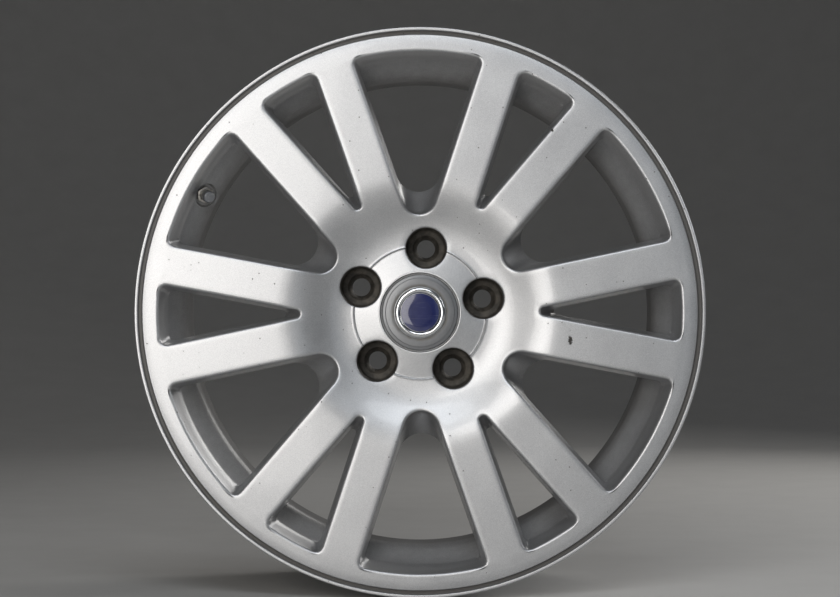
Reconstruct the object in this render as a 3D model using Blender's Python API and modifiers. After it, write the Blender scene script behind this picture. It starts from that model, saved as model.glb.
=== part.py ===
"""Passenger-car alloy wheel rim, 17 x 7.5 J, with its centre cap and tubeless valve.

Everything is built about the wheel's own axis: local +Z points outboard, out of the styled
face, and heights are measured from the rim's mid-plane. An empty then stands the wheel up,
so that in the world the styled face looks along -Y and +Z is up.
"""

import math

import bmesh
import bpy
from mathutils import Matrix, Vector

MM = 0.001

# ---- driving dimensions -------------------------------------------------------------------
GAP = 0.3 * MM                      # between pieces that rest on each other

RIM_WIDTH = 190.5 * MM              # between the flanges' tyre faces (7.5 inches)
BEAD_R = 218.3 * MM                 # bead seat radius of a 17 inch rim
BEAD_TAPER = math.radians(5)
BEAD_LENGTH = 21 * MM
FLANGE_HEIGHT = 17.5 * MM
FLANGE_THICK = 12.25 * MM
HUMP_HEIGHT = 0.8 * MM
WELL_DEPTH = 17.5 * MM
WELL_SETBACK = 40.25 * MM           # of the well's floor behind the outboard flange
WELL_LENGTH = 34 * MM
WELL_FRONT_SLOPE = math.radians(41)  # of the front slope, from the axis
WELL_REAR_SLOPE = math.radians(22)
WALL = 4.6 * MM
SHOULDER_DROP = 2.4 * MM            # of the barrel beside the beads, under the bead seat
RING_STEPS = 60

GROOVE_INSET = 4.6 * MM             # of the groove between face ring and lip
GROOVE_WIDTH = 3.0 * MM
GROOVE_DEPTH = 1.8 * MM
LIP_RISE = 1.2 * MM                 # of the lip over the face ring
WINDOW_INSET = 2.8 * MM             # of the windows' outer edge inside the bead seats
BARREL_SPLIT = 3 * MM               # behind the front slope, where the barrel is held as two nodes

SPOKE_PAIRS = 6
PAIR_HALF_ANGLE = math.radians(11.2)
PATTERN_PHASE = math.radians(0.6)
SPOKE_WIDTH = 33.5 * MM             # at the face
SPOKE_DRAFT = math.radians(5.4)
SPOKE_DEPTH = 30 * MM               # at the rim
SPOKE_BACK_RISE = 12 * MM           # how much nearer the mid-plane the back lies at the hub
POCKET_WIDTH = 19 * MM              # lightening pocket in a spoke's back
POCKET_DEPTH = 17 * MM
POCKET_START = 26 * MM              # from the hub's edge
POCKET_END = 21.5 * MM              # from the windows' outer edge

OFFSET = 49 * MM                    # mounting face to mid-plane
PAD_MARGIN = 21 * MM                # mounting face outside the lug circle
HUB_MARGIN = 9 * MM                 # hub's edge outside the mounting face
BORE_R = 32.55 * MM                 # centre bore
BORE_LENGTH = 16 * MM
HUB_FACE_DROP = 17.5 * MM           # bowl's lowest edge under the flange's front plane
BOWL_START = 1 * MM                 # outside the lug circle
BOWL_LENGTH = 31 * MM               # from the hub's edge out to the flat of the spokes
FACE_FALL = 2.5 * MM                # of the spokes' face from the rim to the bowl
PAD_STEP = 2.0 * MM
PAD_RISE = 2.8 * MM                 # of the cone between step and cap
HUB_STEPS = 60

LUGS = 5
LUG_CIRCLE_R = 54 * MM
LUG_PHASE = PATTERN_PHASE + math.radians(12)   # one bore lines up with a narrow window
LUG_HOLE_R = 7.6 * MM
LUG_WELL_R = 16.4 * MM
LUG_SEAT_R = 11 * MM
LUG_LAND = 14 * MM                  # thickness of metal under the lug well
LUG_STEPS = 24

CAP_WEB = 6.0 * MM                  # between the cap and the lug wells
CAP_RECESS_CLEARANCE = 1.5 * MM
CAP_RIM_THICK = 6.5 * MM
CAP_CROWN = 1.2 * MM
CAP_SEAT_WIDTH = 4.7 * MM           # ledge that the cap's rim rests on
CAP_LEDGE_LENGTH = 8 * MM
CAP_LEG_LENGTH = 15 * MM
CAP_LEG_THICK = 2.2 * MM
CAP_LEG_CLEARANCE = 0.4 * MM
CAP_SLOTS = 3                       # slots cut right across, so twice as many legs
CAP_SLOT_WIDTH = 7 * MM
CAP_STEPS = 36
SPRING_WIRE_R = 0.8 * MM
EMBLEM_INSET = 10 * MM              # of the badge's plate inside the cap's edge
EMBLEM_RECESS = 2.0 * MM
EMBLEM_PLATE = 1.0 * MM
EMBLEM_RING_INSET = 0.4 * MM        # of the badge's ring inside its plate
EMBLEM_RING_WIDTH = 5.0 * MM
EMBLEM_RING_HEIGHT = 1.9 * MM
EMBLEM_DISC_HEIGHT = 1.2 * MM

VALVE_ANGLE = math.radians(151.3)
VALVE_RISE = 4.2 * MM               # where its axis leaves the slope, over the well's floor
VALVE_TILT = math.radians(25)       # of the stem from the wheel's axis, towards the axis
VALVE_POCKET_R = 9.75 * MM
VALVE_POCKET_DEPTH = 6 * MM
VALVE_SEAT_THICK = 4 * MM
VALVE_BOSS_WALL = 2.4 * MM
STEM_R = 4.1 * MM
STEM_TIP_R = 3.85 * MM
STEM_HEIGHT = 13 * MM
STEM_FOOT_OVERLAP = 2.35 * MM       # outside the hole
STEM_FOOT_THICK = 2.2 * MM
GROMMET_THICK = 1.5 * MM
GROMMET_WALL = 0.95 * MM            # of its sleeve in the hole
NUT_ACROSS = 13 * MM
NUT_HEIGHT = 4.2 * MM
CORE_BORE_R = 2.4 * MM
CORE_R = 2.1 * MM
CORE_LENGTH = 7 * MM
PIN_R = 0.55 * MM
PIN_PLATE_R = 1.9 * MM
PIN_PLATE_THICK = 0.6 * MM
CORE_SEAL_THICK = 0.8 * MM
CORE_SPRING_R = 1.45 * MM
CORE_SPRING_WIRE_R = 0.2 * MM
CORE_SPRING_TURNS = 4
CORE_SPRING_LENGTH = 4.2 * MM
VALVE_CAP_WALL = 0.9 * MM
VALVE_CAP_SKIRT = 6.3 * MM
VALVE_CAP_TOP = 1.1 * MM
VALVE_STEPS = 20

# ---- sizes that follow --------------------------------------------------------------------
HALF_RIM = RIM_WIDTH / 2
HALF_WIDTH = HALF_RIM + FLANGE_THICK
FLANGE_R = BEAD_R + FLANGE_HEIGHT
GROOVE_R = FLANGE_R - GROOVE_INSET
WELL_R = BEAD_R - WELL_DEPTH
WELL_FRONT = HALF_RIM - WELL_SETBACK
WINDOW_R = BEAD_R - WINDOW_INSET
FACE_RING_H = HALF_WIDTH - LIP_RISE
RING_BACK_H = HALF_RIM + GAP        # back of each flange node
HUB_EDGE_H = HALF_WIDTH - HUB_FACE_DROP
STEP_H = HUB_EDGE_H - PAD_STEP
PAD_R = LUG_CIRCLE_R + PAD_MARGIN
HUB_R = PAD_R + HUB_MARGIN
BOWL_INNER_R = LUG_CIRCLE_R + BOWL_START
BOWL_OUTER_R = HUB_R + BOWL_LENGTH
POCKET_INNER_R = HUB_R + POCKET_START
POCKET_OUTER_R = WINDOW_R - POCKET_END
CAP_R = LUG_CIRCLE_R - LUG_WELL_R - CAP_WEB
CAP_RECESS_R = CAP_R + CAP_RECESS_CLEARANCE
EMBLEM_R = CAP_R - EMBLEM_INSET
EMBLEM_RING_R = EMBLEM_R - EMBLEM_RING_INSET
BEZEL_H = STEP_H + PAD_RISE
CAP_SEAT_H = BEZEL_H - CAP_RIM_THICK - GAP
CAP_BORE_R = CAP_RECESS_R - CAP_SEAT_WIDTH
CAP_LEDGE_H = CAP_SEAT_H - CAP_LEDGE_LENGTH
SPRING_GROOVE_R = CAP_BORE_R + 1.8 * MM
LUG_LAND_H = OFFSET + LUG_LAND
VALVE_R = WELL_R + VALVE_RISE
VALVE_HOLE_R = STEM_R + GROMMET_WALL + 2 * GAP
STEM_FOOT_R = VALVE_HOLE_R + STEM_FOOT_OVERLAP


# ---- making things ------------------------------------------------------------------------
def clear_scene():
    for thing in list(bpy.data.objects):
        bpy.data.objects.remove(thing, do_unlink=True)


def new_collection(name):
    group = bpy.data.collections.new(name)
    bpy.context.scene.collection.children.link(group)
    return group


def finish(name, colour, roughness, metallic):
    """A Principled material."""
    made = bpy.data.materials.new(name)
    made.use_nodes = True
    shader = made.node_tree.nodes["Principled BSDF"]
    shader.inputs["Base Color"].default_value = (*colour, 1)
    shader.inputs["Roughness"].default_value = roughness
    shader.inputs["Metallic"].default_value = metallic
    return made


def empty(name, parent, matrix):
    made = bpy.data.objects.new(name, None)
    wheel_parts.objects.link(made)
    made.parent = parent
    made.matrix_local = matrix
    return made


def place(name, mesh, look, parent, matrix=None, group=None):
    """Put a mesh in the scene under its parent, with its own material."""
    mesh.name = name
    if look:
        mesh.materials.clear()
        mesh.materials.append(look)
    made = bpy.data.objects.new(name, mesh)
    (group or wheel_parts).objects.link(made)
    made.parent = parent
    made.matrix_local = matrix or Matrix.Identity(4)
    return made


def turned(name, profile, steps, look, parent, matrix=None, group=None):
    """Turn a closed profile of (radius, height) about the parent's Z axis.

    A stretch of the profile that lies on the axis itself is left out.
    """
    mesh = bpy.data.meshes.new(name)
    count = len(profile)
    edges = [(i, (i + 1) % count) for i in range(count)]
    edges = [(a, b) for a, b in edges if profile[a][0] or profile[b][0]]
    mesh.from_pydata([(r, 0, h) for r, h in profile], edges, [])
    made = place(name, mesh, look, parent, matrix, group)
    screw = made.modifiers.new("turn", "SCREW")
    screw.axis = "Z"
    screw.angle = math.tau
    screw.steps = screw.render_steps = steps
    screw.use_merge_vertices = True
    screw.merge_threshold = 0.01 * MM
    screw.use_smooth_shade = False
    return made


def as_cutter(made):
    made.hide_render = True
    made.display_type = "WIRE"
    return made


def boolean(made, other, operation):
    cut = made.modifiers.new(operation.lower(), "BOOLEAN")
    cut.operation = operation
    cut.solver = "EXACT"
    cut.object = other


def evaluated_mesh(made):
    """The object's mesh with its modifiers applied, welded; the object is removed."""
    graph = bpy.context.evaluated_depsgraph_get()
    mesh = bpy.data.meshes.new_from_object(made.evaluated_get(graph))
    bpy.data.objects.remove(made, do_unlink=True)
    work = bmesh.new()
    work.from_mesh(mesh)
    bmesh.ops.remove_doubles(work, verts=work.verts, dist=0.01 * MM)
    work.to_mesh(mesh)
    work.free()
    return mesh


def bmesh_to_mesh(work, name):
    bmesh.ops.recalc_face_normals(work, faces=work.faces)
    mesh = bpy.data.meshes.new(name)
    work.to_mesh(mesh)
    work.free()
    return mesh


def keep_behind(work, point, normal):
    """Cut a closed bmesh by a plane, keep what lies behind it and close the cut."""
    everything = [*work.verts, *work.edges, *work.faces]
    found = bmesh.ops.bisect_plane(
        work, geom=everything, dist=1e-7, plane_co=point, plane_no=normal, clear_outer=True
    )
    rim = [e for e in found["geom_cut"] if isinstance(e, bmesh.types.BMEdge)]
    bmesh.ops.edgenet_fill(work, edges=rim)


def cylinder(name, radius, low, high, steps, parent, matrix=None):
    """A cutter cylinder along its parent's Z."""
    profile = [(0, high), (radius, high), (radius, low), (0, low)]
    return as_cutter(turned(name, profile, steps, None, parent, matrix, cutters))


# ---- the rim ------------------------------------------------------------------------------
def slope_run(rise, angle):
    """Axial length of a slope that climbs by rise at an angle from the axis."""
    return rise / math.tan(angle)


def barrel_outer():
    """Tyre side of the barrel, from the outboard bead seat to the inboard one."""
    seat_fall = BEAD_LENGTH * math.tan(BEAD_TAPER)
    seat_end_r = BEAD_R - seat_fall
    shoulder_r = BEAD_R - SHOULDER_DROP
    seat_end = HALF_RIM - BEAD_LENGTH
    hump = [
        (BEAD_R, HALF_RIM),
        (seat_end_r, seat_end),
        (seat_end_r + HUMP_HEIGHT + 1 * MM, seat_end - 3 * MM),
        (shoulder_r, seat_end - 6 * MM),
    ]
    slope_top = WELL_FRONT + slope_run(shoulder_r - WELL_R, WELL_FRONT_SLOPE)
    well_back = WELL_FRONT - WELL_LENGTH
    rear_end = well_back - slope_run(shoulder_r - WELL_R, WELL_REAR_SLOPE)
    front = hump[:3] + [(shoulder_r, min(slope_top, seat_end - 5 * MM))]
    return front + [(WELL_R, WELL_FRONT), (WELL_R, well_back), (shoulder_r, rear_end)] + [
        (r, -h) for r, h in reversed(hump)
    ]


def barrel_inner():
    """Brake side of the barrel, from the inboard end to the outboard one."""
    side_r = BEAD_R - SHOULDER_DROP - WALL
    front_r = BEAD_R - 5.8 * MM
    floor_r = WELL_R - WALL
    well_back = WELL_FRONT - WELL_LENGTH
    rear_end = well_back - slope_run(side_r - floor_r, WELL_REAR_SLOPE)
    return [
        (side_r + 3 * MM, -HALF_RIM),
        (side_r, -HALF_RIM + 6 * MM),
        (side_r, rear_end),
        (floor_r, well_back),
        (floor_r, WELL_FRONT + 4 * MM),
        (front_r, slope_inner_h(front_r)),
        (WINDOW_R - 1.6 * MM, HALF_RIM),
    ]


def slope_inner_h(radius):
    """Height of the front slope's brake side at a radius."""
    return WELL_FRONT + 4 * MM + slope_run(radius - (WELL_R - WALL), WELL_FRONT_SLOPE)


def build_rim():
    turned(
        "rim_outer_flange",
        [
            (GROOVE_R + GROOVE_WIDTH / 2, HALF_WIDTH - 0.3 * MM),
            (FLANGE_R - 2.2 * MM, HALF_WIDTH),
            (FLANGE_R, HALF_WIDTH - 1.6 * MM),
            (FLANGE_R, HALF_WIDTH - 7.5 * MM),
            (FLANGE_R - 1.8 * MM, HALF_RIM + 1.8 * MM),
            (FLANGE_R - 6.5 * MM, RING_BACK_H),
            (WINDOW_R - 1.5 * MM, RING_BACK_H),
            (WINDOW_R, FACE_RING_H - 1.8 * MM),
            (WINDOW_R + 1.8 * MM, FACE_RING_H),
            (GROOVE_R - GROOVE_WIDTH / 2, FACE_RING_H),
            (GROOVE_R - GROOVE_WIDTH / 6, FACE_RING_H - GROOVE_DEPTH),
            (GROOVE_R + GROOVE_WIDTH / 6, FACE_RING_H - GROOVE_DEPTH),
        ],
        RING_STEPS,
        finish("silver_flange", (0.62, 0.63, 0.65), 0.3, 0.85),
        wheel,
    )
    turned(
        "rim_inner_flange",
        [
            (FLANGE_R - 6.5 * MM, -RING_BACK_H),
            (FLANGE_R - 1.8 * MM, -HALF_RIM - 1.8 * MM),
            (FLANGE_R, -HALF_WIDTH + 7.5 * MM),
            (FLANGE_R, -HALF_WIDTH + 1.6 * MM),
            (FLANGE_R - 1.2 * MM, -HALF_WIDTH),
            (FLANGE_R - 7.2 * MM, -HALF_WIDTH),
            (FLANGE_R - 9.5 * MM, -HALF_WIDTH + 2.5 * MM),
            (FLANGE_R - 13 * MM, -HALF_WIDTH + 5.5 * MM),
            (BEAD_R - SHOULDER_DROP - WALL + 3 * MM, -RING_BACK_H),
        ],
        RING_STEPS,
        finish("silver_inner_flange", (0.55, 0.56, 0.58), 0.35, 0.85),
        wheel,
    )
    outer, inner, floor_r = barrel_outer(), barrel_inner(), WELL_R - WALL
    front_edge = WELL_FRONT - BARREL_SPLIT + GAP / 2
    rear_edge = front_edge - GAP
    barrel = turned(
        "rim_front_barrel",
        outer[:5] + [(WELL_R, front_edge), (floor_r, front_edge)] + inner[4:],
        RING_STEPS,
        finish("silver_front_barrel", (0.48, 0.49, 0.5), 0.45, 0.8),
        wheel,
    )
    turned(
        "rim_rear_barrel",
        [(WELL_R, rear_edge)] + outer[5:] + inner[:4] + [(floor_r, rear_edge)],
        RING_STEPS,
        finish("silver_rear_barrel", (0.46, 0.47, 0.48), 0.45, 0.8),
        wheel,
    )
    boolean(barrel, valve_boss(), "UNION")
    seat_r = STEM_FOOT_R + 1 * MM
    machined = [
        (0, 40 * MM),
        (VALVE_POCKET_R, 40 * MM),
        (VALVE_POCKET_R, 0),
        (VALVE_HOLE_R, 0),
        (VALVE_HOLE_R, -VALVE_SEAT_THICK),
        (seat_r, -VALVE_SEAT_THICK),
        (seat_r, -18 * MM),
        (0, -18 * MM),
    ]
    cutter = turned("valve_hole_cutter", machined, VALVE_STEPS, None, valve, None, cutters)
    boolean(barrel, as_cutter(cutter), "DIFFERENCE")


def valve_boss():
    """Thick metal round the valve's seat, cut off inside the slope's wall."""
    foot_r = STEM_FOOT_R + 2 * MM
    boss_r = VALVE_POCKET_R + VALVE_BOSS_WALL
    profile = [
        (0, 12 * MM),
        (boss_r, 12 * MM),
        (boss_r, 0.5 * MM),
        (foot_r, -VALVE_SEAT_THICK - 0.5 * MM),
        (0, -VALVE_SEAT_THICK - 0.5 * MM),
    ]
    blank = turned("boss_blank", profile, VALVE_STEPS, None, valve, None, cutters)
    mesh = evaluated_mesh(blank)
    work = bmesh.new()
    work.from_mesh(mesh)
    lean = math.pi / 2 - WELL_FRONT_SLOPE - VALVE_TILT
    across = Vector((math.sin(lean), 0, math.cos(lean)))
    middle = Vector((0, 0, VALVE_POCKET_DEPTH)) - across * (WALL / 2)
    keep_behind(work, middle, across)
    boss = place("boss_cutter", bmesh_to_mesh(work, "boss"), None, valve, None, cutters)
    return as_cutter(boss)


# ---- hub and spokes -----------------------------------------------------------------------
def face_height(radius):
    """Height of the styled face: nearly flat spokes that sink into a bowl at the hub."""
    if radius >= BOWL_OUTER_R:
        share = (WINDOW_R - radius) / (WINDOW_R - BOWL_OUTER_R)
        return FACE_RING_H - FACE_FALL * share
    share = (radius - BOWL_INNER_R) / (BOWL_OUTER_R - BOWL_INNER_R)
    eased = share * share * (3 - 2 * share)
    return HUB_EDGE_H + (FACE_RING_H - FACE_FALL - HUB_EDGE_H) * eased


def build_hub():
    bowl = [BOWL_INNER_R + (HUB_R - BOWL_INNER_R) * i / 5 for i in range(6)]
    profile = [(r, face_height(r)) for r in bowl]
    profile += [
        (HUB_R, OFFSET + 11 * MM),
        (PAD_R + 2 * MM, OFFSET + 7 * MM),
        (PAD_R, OFFSET + 1 * MM),
        (PAD_R - 1 * MM, OFFSET),
        (BORE_R + 1.5 * MM, OFFSET),
        (BORE_R, OFFSET + 1.5 * MM),
        (BORE_R, OFFSET + BORE_LENGTH),
        (SPRING_GROOVE_R, OFFSET + BORE_LENGTH + 2.2 * MM),
        (SPRING_GROOVE_R, CAP_LEDGE_H - 1.5 * MM),
        (CAP_BORE_R, CAP_LEDGE_H),
        (CAP_BORE_R, CAP_SEAT_H),
        (CAP_RECESS_R, CAP_SEAT_H),
        (CAP_RECESS_R, BEZEL_H - 0.5 * MM),
        (CAP_RECESS_R + 1 * MM, BEZEL_H),
        (BOWL_INNER_R - 0.8 * MM, STEP_H),
    ]
    hub = turned(
        "hub", profile, HUB_STEPS, finish("silver_hub", (0.6, 0.61, 0.63), 0.32, 0.85), wheel
    )
    for lug in range(LUGS):
        angle = LUG_PHASE + math.tau * lug / LUGS
        spot = Matrix.Rotation(angle, 4, "Z") @ Matrix.Translation((LUG_CIRCLE_R, 0, 0))
        cutter = turned(
            f"lug_cutter_{lug + 1}",
            [
                (0, HALF_WIDTH),
                (LUG_WELL_R + 0.8 * MM, HALF_WIDTH),
                (LUG_WELL_R, LUG_LAND_H),
                (LUG_SEAT_R, LUG_LAND_H),
                (LUG_HOLE_R, LUG_LAND_H - slope_run(LUG_SEAT_R - LUG_HOLE_R, math.radians(30))),
                (LUG_HOLE_R, OFFSET - 5 * MM),
                (0, OFFSET - 5 * MM),
            ],
            LUG_STEPS,
            None,
            wheel,
            spot,
            cutters,
        )
        boolean(hub, as_cutter(cutter), "DIFFERENCE")


def spoke_outline():
    """Side view of a spoke as (distance from the axis, height)."""
    reach = WINDOW_R + 4 * MM
    start = HUB_R - 6 * MM
    stations = [reach, BOWL_OUTER_R, HUB_R + 20 * MM, HUB_R + 10 * MM, start]
    front = [(r, face_height(min(r, WINDOW_R))) for r in stations]
    back = FACE_RING_H - SPOKE_DEPTH
    return front + [(start, back - SPOKE_BACK_RISE), (reach, back)]


def spoke_blank():
    """One spoke lying along +X, wider towards its back, with its lightening pocket."""
    curve = bpy.data.curves.new("spoke_outline", "CURVE")
    curve.dimensions = "2D"
    curve.fill_mode = "BOTH"
    curve.extrude = SPOKE_WIDTH / 2
    outline = spoke_outline()
    line = curve.splines.new("POLY")
    line.points.add(len(outline) - 1)
    for point, (r, h) in zip(line.points, outline):
        point.co = (r, h, 0, 1)
    line.use_cyclic_u = True
    drawn = bpy.data.objects.new("spoke_outline", curve)
    cutters.objects.link(drawn)
    mesh = evaluated_mesh(drawn)
    for vertex in mesh.vertices:
        r, h, across = vertex.co
        widen = (FACE_RING_H - h) * math.tan(SPOKE_DRAFT)
        vertex.co = (r, across + math.copysign(widen, across), h)

    blank = place("spoke_blank", mesh, None, None, None, cutters)
    back = FACE_RING_H - SPOKE_DEPTH - SPOKE_BACK_RISE
    low, high = back - 5 * MM, back + POCKET_DEPTH
    length = POCKET_OUTER_R - POCKET_INNER_R
    work = bmesh.new()
    bmesh.ops.create_cube(work, size=1)
    bmesh.ops.scale(work, vec=(length, POCKET_WIDTH, high - low), verts=work.verts)
    middle = (POCKET_INNER_R + length / 2, 0, (low + high) / 2)
    bmesh.ops.translate(work, vec=middle, verts=work.verts)
    for vertex in work.verts:
        if vertex.co.z > middle[2] and vertex.co.x > middle[0]:
            vertex.co.z += SPOKE_BACK_RISE / 2
    pocket = place("spoke_pocket", bmesh_to_mesh(work, "pocket"), None, None, None, cutters)
    boolean(blank, pocket, "DIFFERENCE")
    mesh = evaluated_mesh(blank)
    bpy.data.objects.remove(pocket, do_unlink=True)
    return mesh


def build_spokes():
    blank = spoke_blank()
    inside = [(0, HALF_WIDTH + 5 * MM), (WINDOW_R - GAP, HALF_WIDTH + 5 * MM)]
    inside += [(WINDOW_R - GAP, FACE_RING_H - 1.8 * MM)]
    inside += [(r - GAP, h) for r, h in reversed(barrel_inner()[3:])]
    inside += [(0, WELL_FRONT - WELL_LENGTH)]
    room = as_cutter(turned("room_cutter", inside, RING_STEPS, None, wheel, None, cutters))
    core = cylinder("core_cutter", HUB_R + GAP, 0, HALF_WIDTH + 5 * MM, HUB_STEPS, wheel)
    halves = []
    for side in (-1, 1):
        work = bmesh.new()
        work.from_mesh(blank)
        normal = Vector((-math.sin(PAIR_HALF_ANGLE), -side * math.cos(PAIR_HALF_ANGLE), 0))
        keep_behind(work, -normal * (GAP / 2), normal)
        halves.append((side, bmesh_to_mesh(work, "spoke")))
    for number in range(2 * SPOKE_PAIRS):
        side, mesh = halves[number % 2]
        angle = math.tau * (number // 2) / SPOKE_PAIRS + PATTERN_PHASE + side * PAIR_HALF_ANGLE
        name = f"spoke_{number + 1:02d}"
        look = finish(f"silver_{name}", (0.62, 0.63, 0.65), 0.3, 0.85)
        turn = Matrix.Rotation(angle, 4, "Z")
        spoke = place(name, mesh.copy(), look, wheel, turn)
        boolean(spoke, room, "INTERSECT")
        boolean(spoke, core, "DIFFERENCE")


# ---- centre cap ---------------------------------------------------------------------------
def build_cap():
    """Pieces of the cap; heights are from the ledge that the cap's rim rests on."""
    top = CAP_RIM_THICK
    leg_r = CAP_BORE_R - CAP_LEG_CLEARANCE
    spring_h = -CAP_LEDGE_LENGTH - 1.9 * MM
    groove_r = CAP_BORE_R + 0.5 * MM - 2 * SPRING_WIRE_R - GAP
    half_groove = SPRING_WIRE_R + GAP
    shell = turned(
        "cap_shell",
        [
            (EMBLEM_R + GAP, top + CAP_CROWN * 0.6),
            (CAP_R - 4 * MM, top + CAP_CROWN * 0.3),
            (CAP_R - 1 * MM, top - 0.6 * MM),
            (CAP_R, top - 2 * MM),
            (CAP_R, GAP),
            (leg_r, GAP),
            (leg_r, spring_h + half_groove),
            (groove_r, spring_h + half_groove),
            (groove_r, spring_h - half_groove),
            (leg_r, spring_h - half_groove),
            (leg_r - 1.2 * MM, -CAP_LEG_LENGTH),
            (groove_r - CAP_LEG_THICK, -CAP_LEG_LENGTH),
            (groove_r - CAP_LEG_THICK, top - 4.5 * MM),
            (0, top - 4.5 * MM),
            (0, top + CAP_CROWN - EMBLEM_RECESS),
            (EMBLEM_R + GAP, top + CAP_CROWN - EMBLEM_RECESS),
        ],
        CAP_STEPS,
        finish("cap_grey", (0.3, 0.31, 0.32), 0.4, 0.6),
        cap,
    )
    for slot in range(CAP_SLOTS):
        work = bmesh.new()
        bmesh.ops.create_cube(work, size=1)
        size = (3 * CAP_R, CAP_SLOT_WIDTH, CAP_LEG_LENGTH)
        bmesh.ops.scale(work, vec=size, verts=work.verts)
        turn = Matrix.Rotation(math.pi * slot / CAP_SLOTS, 4, "Z")
        spot = turn @ Matrix.Translation((0, 0, -CAP_LEG_LENGTH / 2 - 1 * MM))
        mesh = bmesh_to_mesh(work, "slot")
        cutter = place(f"cap_slot_{slot + 1}", mesh, None, cap, spot, cutters)
        boolean(shell, as_cutter(cutter), "DIFFERENCE")

    ring_r = CAP_BORE_R + 0.5 * MM - SPRING_WIRE_R
    turned(
        "cap_spring_ring",
        [
            (ring_r + SPRING_WIRE_R * math.cos(a), spring_h - SPRING_WIRE_R * math.sin(a))
            for a in (math.tau * i / 8 for i in range(8))
        ],
        CAP_STEPS,
        finish("spring_steel", (0.5, 0.5, 0.52), 0.3, 1.0),
        cap,
    )
    floor = top + CAP_CROWN - EMBLEM_RECESS + GAP
    plate = floor + EMBLEM_PLATE
    turned(
        "emblem_plate",
        [(0, plate), (EMBLEM_R, plate), (EMBLEM_R, floor), (0, floor)],
        CAP_STEPS,
        finish("emblem_plate_grey", (0.42, 0.43, 0.45), 0.35, 0.7),
        cap,
    )
    low = plate + GAP
    inner = EMBLEM_RING_R - EMBLEM_RING_WIDTH
    turned(
        "emblem_ring",
        [
            (EMBLEM_RING_R - 0.9 * MM, low + EMBLEM_RING_HEIGHT),
            (EMBLEM_RING_R, low + EMBLEM_RING_HEIGHT - 0.9 * MM),
            (EMBLEM_RING_R, low),
            (inner, low),
            (inner, low + EMBLEM_RING_HEIGHT - 0.9 * MM),
            (inner + 0.9 * MM, low + EMBLEM_RING_HEIGHT),
        ],
        CAP_STEPS,
        finish("emblem_chrome", (0.8, 0.8, 0.82), 0.1, 1.0),
        cap,
    )
    disc_r = inner - GAP
    turned(
        "emblem_disc",
        [
            (0, low + EMBLEM_DISC_HEIGHT + 0.3 * MM),
            (disc_r - 0.6 * MM, low + EMBLEM_DISC_HEIGHT),
            (disc_r, low + EMBLEM_DISC_HEIGHT - 0.5 * MM),
            (disc_r, low),
            (0, low),
        ],
        CAP_STEPS,
        finish("emblem_blue", (0.05, 0.07, 0.2), 0.2, 0.0),
        cap,
    )


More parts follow.
